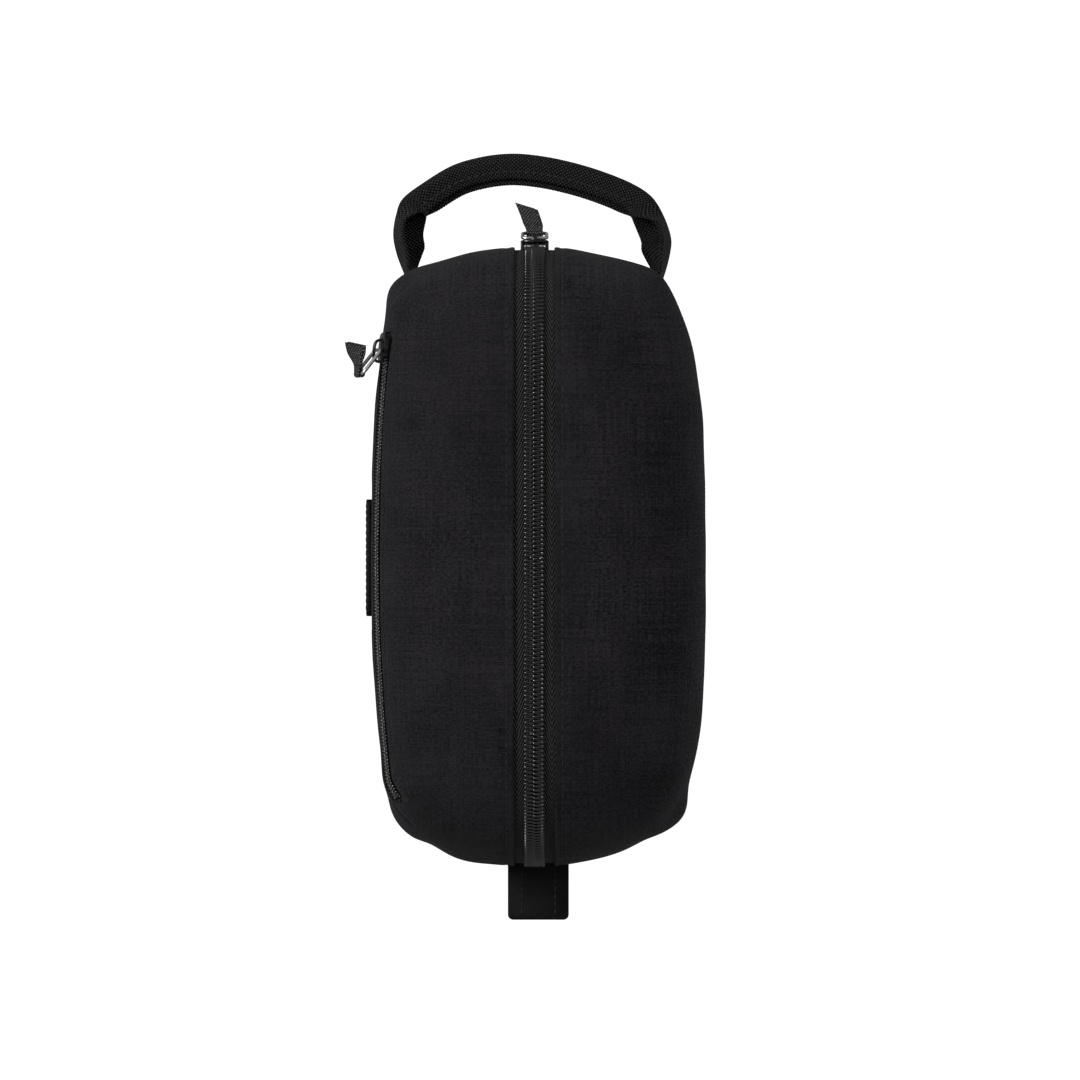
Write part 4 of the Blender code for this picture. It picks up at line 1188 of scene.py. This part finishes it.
def build_main_zip(finishes):
    def rails(handle_foot, tab_foot):
        points, out = main_rail(0.0, handle_foot=handle_foot, tab_foot=tab_foot)
        for name, pick, bend in stretches(points[:, 0]):
            path = points[pick]
            first = np.linalg.norm(np.diff(points[: np.nonzero(pick)[0][0] + 1], axis=0), axis=1).sum()
            yield name, bend, first, (path, np.broadcast_to((0.0, 1.0, 0.0), path.shape), out[pick])

    for side, sign in SIDES:
        coils = rails(HANDLE_STOP_TOP + 0.3, TAB_STOP_TOP + 0.3)
        tapes = rails(TAPE_FOOT - 1.5, TAPE_FOOT - 1.5)
        for (name, bend, first, rail), (_, _, _, tape_rail) in zip(coils, tapes):
            node = f"{side}_{'mouth' if bend else name}"
            tie = mouth_bend(side, bend) if bend else None
            phase = first / MAIN_ZIP["pitch"] + (0.5 if sign > 0 else 0.0)
            label = f"main_coil_{side}_{name}"
            turns, thread = coil_pieces(label, rail, MAIN_ZIP, sign, phase, 0.46, finishes)
            strip = tape_piece(f"main_tape_{side}_{name}", tape_rail, MAIN_ZIP, sign, finishes)
            settle(turns, "coil", f"main_coil_{node}", bend=tie)
            settle(thread, "tape", bend=tie)
            settle(strip, "tape", f"main_tape_{node}", bend=tie)


def build_pocket_zip(finishes):
    low, high = POCKET_SPAN[0] + 1, POCKET_SPAN[1] - 1
    tape_more = 5.0  # how far the tape goes on past the coil at the pocket's two ends
    for label, sign, start, stop, end_name, nodes in (
        ("upper", 1, low, high, None, ["upper"]),
        ("lower_handle_half", -1, low, POCKET_MIDDLE, "handle", ["lower_handle_end", "lower_mouth"]),
        ("lower_tab_half", -1, POCKET_MIDDLE, high, "tab", ["lower_tab_end", "lower_mouth"]),
    ):
        tie = pocket_bend(end_name) if end_name else None
        phase = (start - low) / POCKET_ZIP["pitch"] + (0.5 if sign > 0 else 0)
        rail = pocket_rail(start, stop, 0.4)
        turns, thread = coil_pieces(f"pocket_coil_{label}", rail, POCKET_ZIP, sign, phase, 0.36, finishes)
        start -= tape_more if start == low else 0
        stop += tape_more if stop == high else 0
        rail = pocket_rail(start, stop, 1.0)
        strip = tape_piece(f"pocket_tape_{label}", rail, POCKET_ZIP, sign, finishes)
        settle(turns, "coil", *(f"pocket_coil_{node}" for node in nodes), bend=tie)
        settle(thread, "tape", bend=tie)
        settle(strip, "tape", *(f"pocket_tape_{node}" for node in nodes), bend=tie)


# ---------------------------------------------------------------- stitches


def stitch_row(points, normals, lift, pitch=STITCH_PITCH, radius=0.27, share=0.68):
    """Stitches lying along a path on the cloth."""
    pile = Pile()
    steps = distances_along(points)
    placed = points + normals * lift
    count = int(steps[-1] / pitch)
    spare = (steps[-1] - count * pitch) / 2
    for i in range(count):
        marks = spare + pitch * (i + np.array([0.5 - share / 2, 0.5 + share / 2]))
        ends = np.stack([np.interp(marks, steps, placed[:, k]) for k in range(3)], axis=-1)
        pile.add(*capsule(ends[0], ends[1], radius))
    return pile


def build_main_stitches(finishes):
    for side, sign in SIDES:
        points, normals = main_rail(sign * STITCH_Y, handle_foot=END_SEAM + 1, tab_foot=END_SEAM + 1)
        placed = points + normals * relief_of(points)[:, None]
        for label, pick, bend in stretches(points[:, 0]):
            row = stitch_row(placed[pick], normals[pick], 0.1)
            obj = row.make(f"main_stitches_{side}_{label}", finishes["thread"])
            settle(obj, "tape", bend=mouth_bend(side, bend) if bend else None)


def front_line(z, low, high):
    """A level line on the front's rounded part: (points on the cloth, outward normals)."""
    x = np.linspace(low, high, int((high - low) / 0.8) + 1)
    y = side_surface_y(x, z)
    rise = (side_surface_y(x, z + 1.5) - side_surface_y(x, z - 1.5)) / 3
    normals = unit(np.column_stack([np.gradient(y, x), -1 + 0 * x, rise]))
    points = np.column_stack([x, y, z + 0 * x])
    return points + normals * relief_of(points)[:, None], normals


def build_pocket_stitches(finishes):
    low, high = POCKET_SPAN[0] + 1, POCKET_SPAN[1] - 2
    for label, z, start, stop, end_name in (
        ("upper", POCKET_HEAD + 2.6, low, high, None),
        ("lower_handle_half", POCKET_FOOT - 2.6, low, POCKET_MIDDLE, "handle"),
        ("lower_tab_half", POCKET_FOOT - 2.6, POCKET_MIDDLE, high, "tab"),
    ):
        row = stitch_row(*front_line(z, start, stop), 0.05)
        obj = row.make(f"pocket_stitches_{label}", finishes["thread"])
        settle(obj, "fabric", bend=pocket_bend(end_name) if end_name else None)


# ---------------------------------------------------------------- sliders and pulls


class Slider:
    """The sizes of a slider, in its own frame: along the zip, across it and out from the bag."""

    def __init__(self, coil, coil_top, tape, scale, ribbon_length, bail):
        self.half_length = 7.5 * scale
        self.inner = coil + 0.15
        self.outer = coil + 1.8 * scale
        self.plate = (coil_top + 0.9, coil_top + 0.9 + 1.2 * scale)
        self.flange_foot = tape[1] + 0.5
        self.lower = (tape[0] - 0.9 - 1.1 * scale, tape[0] - 0.9)
        self.post = (0.3, 2.0 * scale)
        self.bail_half = 1.0
        self.bail = bail  # where its feet are along the zip
        self.bail_height = 3.4
        self.bail_wall = 1.15
        self.wire = 0.75
        self.pivot = (1.6 * scale, self.plate[1] + 0.35 + self.wire)
        self.ring_length = 12.5
        self.ring_half = 5.0
        self.ribbon_half = 4.0
        self.ribbon_length = ribbon_length


def grown(outline, amount):
    """A closed outline moved outwards by an amount."""
    before, after = np.roll(outline, 1, 0), np.roll(outline, -1, 0)
    tangent = unit(after - before)
    return outline + np.column_stack([tangent[:, 1], -tangent[:, 0]]) * amount


def slab(place, outline, low, high, bevel):
    """A plate with rounded edges: an anticlockwise outline of (e1, e2) from low to high along e3."""
    origin, e1, e2, e3 = place
    layers = []
    for height, inset in (
        (low, 1.0), (low + 0.3 * bevel, 0.3), (low + bevel, 0.0),
        (high - bevel, 0.0), (high - 0.3 * bevel, 0.3), (high, 1.0),
    ):
        flat = grown(np.asarray(outline, float), -bevel * inset)
        layers.append(origin + flat[:, :1] * e1 + flat[:, 1:] * e2 + height * e3)
    count = len(outline)
    points = np.concatenate(layers)
    faces = grid_faces(len(layers), count, closed=True)
    faces += [tuple(range(count))[::-1], tuple(range(len(points) - count, len(points)))]
    return points, faces


def super_outline(half_a, half_b, power, count=40):
    """A closed outline between an ellipse (power 2) and a rectangle."""
    turn = np.linspace(0, 2 * math.pi, count, endpoint=False)
    cos, sin = np.cos(turn), np.sin(turn)
    a = half_a * np.sign(cos) * np.abs(cos) ** (2 / power)
    return np.column_stack([a, half_b * np.sign(sin) * np.abs(sin) ** (2 / power)])


def rounded_box(a0, a1, b0, b1, radius, steps=6):
    """An anticlockwise rectangle with round corners."""
    corners = (
        (a1 - radius, b1 - radius, 0), (a0 + radius, b1 - radius, 90),
        (a0 + radius, b0 + radius, 180), (a1 - radius, b0 + radius, 270),
    )
    points = []
    for a, b, start in corners:
        turns = [math.radians(start + 90 * i / steps) for i in range(steps + 1)]
        points += [(a + radius * math.cos(t), b + radius * math.sin(t)) for t in turns]
    return np.array(points)


def build_slider(prefix, place, size, finish):
    origin, t, b, n = place
    pile = Pile()
    lying, standing = (origin, t, b, n), (origin, t, n, -b)
    upper = super_outline(size.half_length, size.outer, 3.4)
    lower = super_outline(size.half_length, size.outer - 0.4, 3.4)
    hump = super_outline(size.half_length * 0.62, 1.5, 2.4)
    pile.add(*slab(lying, upper, *size.plate, 0.35))
    pile.add(*slab(lying, lower, *size.lower, 0.35))
    pile.add(*slab(lying, hump, size.plate[1] - 0.3, size.plate[1] + 0.35, 0.25))
    flange_half = 0.62 * size.half_length
    flange = rounded_box(-flange_half, flange_half, size.flange_foot, size.plate[1] - 0.2, 0.5)
    for sign in (-1, 1):
        low, high = sorted((sign * size.inner, sign * (size.outer - 0.02)))
        pile.add(*slab(standing, flange, -high, -low, 0.3))
    post = rounded_box(-size.post[1], size.post[1], size.lower[1] - 0.3, size.plate[0] + 0.3, 0.3)
    pile.add(*slab(standing, post, -size.post[0], size.post[0], 0.1))
    wall, top = size.bail_wall, size.plate[1] + size.bail_height
    turn = np.linspace(math.pi, 0, 36)
    middle, half = sum(size.bail) / 2, (size.bail[1] - size.bail[0] - wall) / 2
    base = size.plate[1] - 0.4
    cos, sin = np.cos(turn), np.sin(turn)
    along = middle + half * np.sign(cos) * np.abs(cos) ** 0.62
    arch = np.column_stack([along, base + (top - wall / 2 - base) * sin**0.62])
    tangent = unit(np.gradient(arch, axis=0))
    path = origin + arch[:, :1] * t + arch[:, 1:] * n
    side = tangent[:, 1:] * t - tangent[:, :1] * n
    section = super_outline(size.bail_half, wall / 2, 3.2, 16)
    pile.add(*sweep(path, np.broadcast_to(b, path.shape), side, section)[:2])
    obj = pile.make(f"{prefix}_slider_body", finish, 40)
    settle(obj, "metal", f"{prefix}_slider", body=f"{prefix}_slider")


def turned(place, angle, forward, up=0.0):
    """A place moved forwards and up in its own frame, and then turned about its second axis."""
    origin, t, b, n = place
    turn = math.radians(angle)
    ahead = t * math.cos(turn) + n * math.sin(turn)
    return origin + t * forward + n * up, ahead, b, n * math.cos(turn) - t * math.sin(turn)


def build_ring(prefix, place, size, finish):
    origin, t, b, _ = place
    flat = rounded_box(0, size.ring_length, -size.ring_half, size.ring_half, 2.1, 8)
    path = origin + flat[:, :1] * t + flat[:, 1:] * b
    obj = make_object(f"{prefix}_pull_wire_ring", *tube(path, size.wire, 14, closed=True)[:2], finish)
    settle(obj, "metal", f"{prefix}_pull_ring", body=f"{prefix}_ring")


def build_ribbon(prefix, place, size, finish, thread, lean, cut, twist):
    """A grosgrain ribbon folded round the far bar, both layers together beyond it, its end cut on a slant."""
    origin, t, b, n = place
    thick = 0.55
    bar = size.wire + 0.2 + thick / 2
    layer = thick / 2 + 0.06
    length = size.ribbon_length
    out_leg = [(u, layer + 0.12 * math.sin(u * 0.9)) for u in np.linspace(length, bar + 1.8, 22)]
    loop = [(bar * math.cos(a), bar * math.sin(a)) for a in np.radians(np.linspace(52, 308, 17))]
    middle = np.array(out_leg + loop + [(u, -v) for u, v in out_leg[::-1]])
    middle = curve_through(middle, 120)
    tangent = unit(np.gradient(middle, axis=0))
    normal = np.column_stack([-tangent[:, 1], tangent[:, 0]])
    across = np.linspace(-size.ribbon_half, size.ribbon_half, 13)
    along = distances_along(middle)
    sheets = []
    for offset in (thick / 2, -thick / 2):
        line = middle + normal * offset
        u, a = np.broadcast_arrays(line[:, :1], across)
        share = np.clip(u / length, 0, 1)
        slanted = np.where(u > 0, u * (1 - cut * (a / size.ribbon_half + 1) / 2 / length), u)
        drift = lean * share**1.4 + 0.7 * share * np.sign(line[:, 1:])
        v = line[:, 1:] + 0.35 * np.sin(share * 4.0) * (a / size.ribbon_half) * share
        edge = 0.06 * np.cos(2 * math.pi * along / 1.2)[:, None] * (np.abs(a) > size.ribbon_half - 0.01)
        pinch = 1 - 0.16 * (1 - smooth((u - bar) / 5))
        wide = a * pinch + drift + edge * np.sign(a)
        turn = twist * smooth((u - bar - 2) / (length - bar - 2))
        level = wide * np.cos(turn) - v * np.sin(turn)
        height = wide * np.sin(turn) + v * np.cos(turn)
        sheets.append(origin + slanted[..., None] * t + level[..., None] * b + height[..., None] * n)
    rows, columns = sheets[0].shape[:2]
    loops = np.concatenate([sheets[0], sheets[1][:, ::-1]], axis=1)
    sections = np.concatenate([across, across[::-1]])
    cloth = np.stack(np.broadcast_arrays(along[:, None], sections[None]), axis=-1).reshape(-1, 2)
    faces = grid_faces(rows, 2 * columns, closed=True)
    faces += [tuple(range(2 * columns))[::-1], tuple(range((rows - 1) * 2 * columns, rows * 2 * columns))]
    obj = make_object(f"{prefix}_pull_grosgrain", loops.reshape(-1, 3), faces, finish, cloth, 50)
    settle(obj, "ribbon", f"{prefix}_pull_ribbon", body=f"{prefix}_ribbon")
    row = Pile()
    u = bar + 2.6

    def place_at(a, v):
        return origin + u * t + (a + lean * (u / length) ** 1.4) * b + v * n

    for i in range(6):
        a = -3.0 + 6.0 * i / 5
        for v in (-thick - 0.1, thick + 0.1):
            row.add(*capsule(place_at(a - 0.4, v), place_at(a + 0.4, v), 0.14, 6))
    settle(row.make(f"{prefix}_pull_stitches", thread), "ribbon", body=f"{prefix}_ribbon")


def build_pull(prefix, place, size, angles, finishes, **ribbon):
    """A slider, its ring and its ribbon. angles: the ring's from the slider, the ribbon's from the ring."""
    build_slider(prefix, place, size, finishes["metal"])
    ring = turned(place, angles[0], *size.pivot)
    build_ring(prefix, ring, size, finishes["wire"])
    far = turned(ring, angles[1], size.ring_length)
    build_ribbon(prefix, far, size, finishes["ribbon"], finishes["thread"], **ribbon)


def build_pulls(finishes):
    x, y, z = np.eye(3)
    place = (np.array([-END, 0, HEIGHT - HANDLE_ROUND]), z, y, -x)
    size = Slider(MAIN_SLIDER_COIL, 0.3, (-3.1, -2.6), 1.0, 16.0, (-5.2, 5.2))
    build_pull("main", place, size, (165, -42), finishes, lean=-3.4, cut=3.6, twist=0.0)
    along = math.asin(POCKET_SLIDER_X / POCKET_ZIP_RADIUS)
    flat = np.array([math.sin(along), -math.cos(along), 0])
    origin = np.array([0, POCKET_ZIP_CENTRE_Y, POCKET_ZIP_Z]) + flat * POCKET_ZIP_RADIUS
    cos, sin = math.cos(POCKET_ZIP_TILT), math.sin(POCKET_ZIP_TILT)
    up, out = z * cos - flat * sin, flat * cos + z * sin
    place = (origin, np.cross(up, out), up, out)
    size = Slider(POCKET_SLIDER_COIL, 0.2, (-2.3, -1.9), 0.8, 13.5, (-3.4, 6.6))
    build_pull("pocket", place, size, (33, 130), finishes, lean=0.8, cut=2.6, twist=math.radians(42))


# ---------------------------------------------------------------- handle, tab and label


# The handle's outer edge in plan, from the front seam round to the back seam
HANDLE_ROUTE = (
    (-108, -50.6), (-117.5, -54.2), (-125.8, -57.3), (-134, -58.8), (-142.4, -57.6), (-149, -54.9),
    (-155.2, -47), (-162.7, -34.6), (-166.4, -22.2), (-167.8, -9.7), (-166.8, 2.7), (-164.3, 15.1),
    (-160.6, 27.6), (-155.6, 40), (-150.2, 48.3), (-142.8, 53.2), (-133.2, 56.6), (-125.8, 56.2),
    (-116, 53.5), (-108, 50.0),
)


def web_angles(x):
    """How far the two layers turn away from level: shut together on the grip, open on the legs."""
    upper = -11.5 + 83 * smooth((x + 154) / 15) + 10 * smooth((x + 126) / 10)
    lower = -11.5 + 27 * smooth((x + 151) / 15) + 60 * smooth((x + 129) / 13)
    return np.radians(upper), np.radians(lower)


def web_section(upper, lower, bend, past, tooth):
    """The outline of the folded web in (inwards, up), with the fold at the origin."""
    centre = bend + WEB_THICK / 2

    def arm(angle, more):
        arc = np.linspace(math.pi / 2 + angle, math.pi, 6)
        length = WEB_HALF + more - WEB_THICK / 2 - bend * (math.pi / 2 - angle)
        start = np.array([centre + bend * math.cos(arc[0]), bend * math.sin(arc[0])])
        reach = np.linspace(length, 0, 9)[:, None]
        straight = start + reach * np.array([math.cos(angle), math.sin(angle)])
        round_part = np.column_stack([centre + bend * np.cos(arc[1:]), bend * np.sin(arc[1:])])
        return np.concatenate([straight, round_part])

    top, bottom = arm(upper, tooth - 1.1 * past), arm(lower, 1.2 * past - tooth) * (1, -1)
    middle = np.concatenate([top, bottom[-2::-1]])
    tangent = unit(np.gradient(middle, axis=0))
    normal = np.column_stack([-tangent[:, 1], tangent[:, 0]])
    half = WEB_THICK / 2
    caps = []
    for point, along, side in ((middle[-1], tangent[-1], normal[-1]), (middle[0], -tangent[0], -normal[0])):
        turn = np.linspace(0, math.pi, 6)[1:-1]
        caps.append(point + half * (np.cos(turn)[:, None] * side + np.sin(turn)[:, None] * along))
    return np.concatenate([middle + normal * half, caps[0], (middle - normal * half)[::-1], caps[1]])


def build_handle(finishes):
    route = curve_through(HANDLE_ROUTE, 420)
    route = resampled(route[route[:, 0] < -113.5], 0.4)
    tangent = unit(np.gradient(route, axis=0))
    inward = np.column_stack([-tangent[:, 1], tangent[:, 0]])
    inward *= np.sign(np.sum(inward * (np.array([HANDLE_AXIS_X, 0]) - route), axis=1))[:, None]
    x = route[:, 0]
    upper, lower = web_angles(x)
    bends = 2.6 - 1.2 * smooth((x + 153) / 15)
    past = 1 - smooth((x + 156) / 6)  # on the grip the lower layer shows past the upper one
    teeth = 0.11 * np.cos(2 * math.pi * 0.4 * np.arange(len(x)) / 1.2)
    sections = np.stack([web_section(*row) for row in zip(upper, lower, bends, past, teeth)])
    path = np.column_stack([route, 0 * x + WEB_Z])
    across = np.column_stack([inward, 0 * x])
    up = np.broadcast_to((0.0, 0, 1), path.shape)
    points, faces, _ = sweep(path, across, up, sections)
    along, round_it = distances_along(path), distances_along(sections[len(x) // 2])
    cloth = np.stack(np.broadcast_arrays(along[:, None], round_it[None]), axis=-1).reshape(-1, 2)
    web = make_object("handle_folded_web", points, faces, finishes["webbing"], cloth, 60)
    grip = np.nonzero(x < -152)[0]
    pile = Pile()

    def on_layer(i, reach, sign, lift):
        """A point on the outside of a layer of the web, a distance along it from the fold."""
        angle, bend = upper[i], bends[i]
        a = bend + WEB_THICK / 2 - bend * math.sin(angle) + reach * math.cos(angle)
        h = bend * math.cos(angle) + reach * math.sin(angle) + WEB_THICK / 2 + lift
        return path[i] + across[i] * a + np.array([0, 0, sign * h])

    reaches = WEB_HALF - 4.2 - bends * (math.pi / 2 - upper)
    for sign in (-1, 1):
        row = np.array([on_layer(i, reaches[i], sign, 0.08) for i in grip])
        pile.add(*stitch_row(row, np.zeros_like(row), 0, 3.0, 0.3).whole())
        for end in (grip[0], grip[-1]):
            for step in range(5):
                reach = 0.4 + 1.7 * step
                ends = (on_layer(end, r, sign, 0.12) for r in (reach, reach + 1.1))
                pile.add(*capsule(*ends, 0.28, 6))
    stitches = pile.make("handle_stitches", finishes["thread"])
    for obj in (web, stitches):
        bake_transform(obj)
    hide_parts("handle_webbing", "handle_anchor_front", "handle_anchor_back")


def build_tab(finishes):
    low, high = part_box("end_tab")
    y0, y1, tip = low.y / MM, high.y / MM, high.x / MM
    z0, z1 = low.z / MM, high.z / MM
    x, y, z = np.eye(3)
    corner, root = 2.2, 122.0
    round_corners = []
    for a, b, start in ((tip - corner, y1 - corner, 0), (tip - corner, y0 + corner, 270)):
        turns = [math.radians(start + 90 * i / 6) for i in range(7)]
        round_corners.append([(a + corner * math.cos(turn), b + corner * math.sin(turn)) for turn in turns])
    edge = np.linspace(tip - corner - 1, root, 20)
    sides = [(u, y1) for u in edge] + [(u, y0) for u in edge[::-1]]
    outline_points = np.array(round_corners[0] + sides + round_corners[1])
    middle = (z0 + z1) / 2
    pile = Pile()
    for foot, top in ((z0, middle - 0.06), (middle + 0.06, z1)):
        pile.add(*slab((np.zeros(3), x, y, z), outline_points, foot, top, 0.4))
    leather = pile.make("tab_leather", finishes["leather"], 50)
    rows = Pile()
    for side in (-5.4, 8.5):
        for height in (z1 + 0.02, z0 - 0.02):
            line = np.array([(129.5, side, height), (tip - 1.2, side, height)])
            rows.add(*stitch_row(line, np.zeros_like(line), 0, 3.1, 0.34).whole())
    stitches = rows.make("tab_stitches", finishes["thread"])
    for obj in (leather, stitches):
        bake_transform(obj)
    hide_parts("end_tab")


def build_label(finishes):
    low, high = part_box("label_patch")
    x, y, z = np.eye(3)
    x0, x1, z0, z1 = low.x / MM, high.x / MM, low.z / MM, high.z / MM
    back, face = -FRONT_HALF + 0.1, low.y / MM
    middle = np.array([(x0 + x1) / 2, 0, (z0 + z1) / 2])
    half_x, half_z = (x1 - x0) / 2, (z1 - z0) / 2
    shape = rounded_box(-half_x, half_x, -half_z, half_z, 2.6)
    points, faces = slab((middle, x, z, -y), shape, -back, -face, 0.35)
    patch = make_object("label_leather", points, faces, finishes["leather"], None, 40)
    ring = rounded_box(-half_x + 1.9, half_x - 1.9, -half_z + 1.9, half_z - 1.9, 1.4)
    ring = np.concatenate([ring, ring[:1]])
    line = middle + ring[:, :1] * x + ring[:, 1:] * z - (-face + 0.02) * y
    row = stitch_row(line, np.zeros_like(line), 0, 2.8, 0.22)
    settle(patch, "leather", "label_patch", body="pocket_flap")
    settle(row.make("label_stitches", finishes["thread"]), "leather", body="pocket_flap")


def finish_cad_nodes(finishes):
    for node, finish in (
        ("base_board", "board"), ("handle_end_binding", "binding"), ("tab_end_binding", "binding"),
        ("main_handle_end_stop", "metal"), ("main_tab_end_stop", "metal"),
    ):
        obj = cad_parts[node]
        for slot in obj.material_slots:
            slot.material = finishes[finish]


# ---------------------------------------------------------------- running it all


def main():
    build_camera()
    build_stage()
    finishes = build_finishes()
    build_cloth(finishes)
    build_lining(finishes)
    build_backing(finishes)
    build_main_zip(finishes)
    build_pocket_zip(finishes)
    build_main_stitches(finishes)
    build_pocket_stitches(finishes)
    build_pulls(finishes)
    build_handle(finishes)
    build_tab(finishes)
    build_label(finishes)
    finish_cad_nodes(finishes)


main()
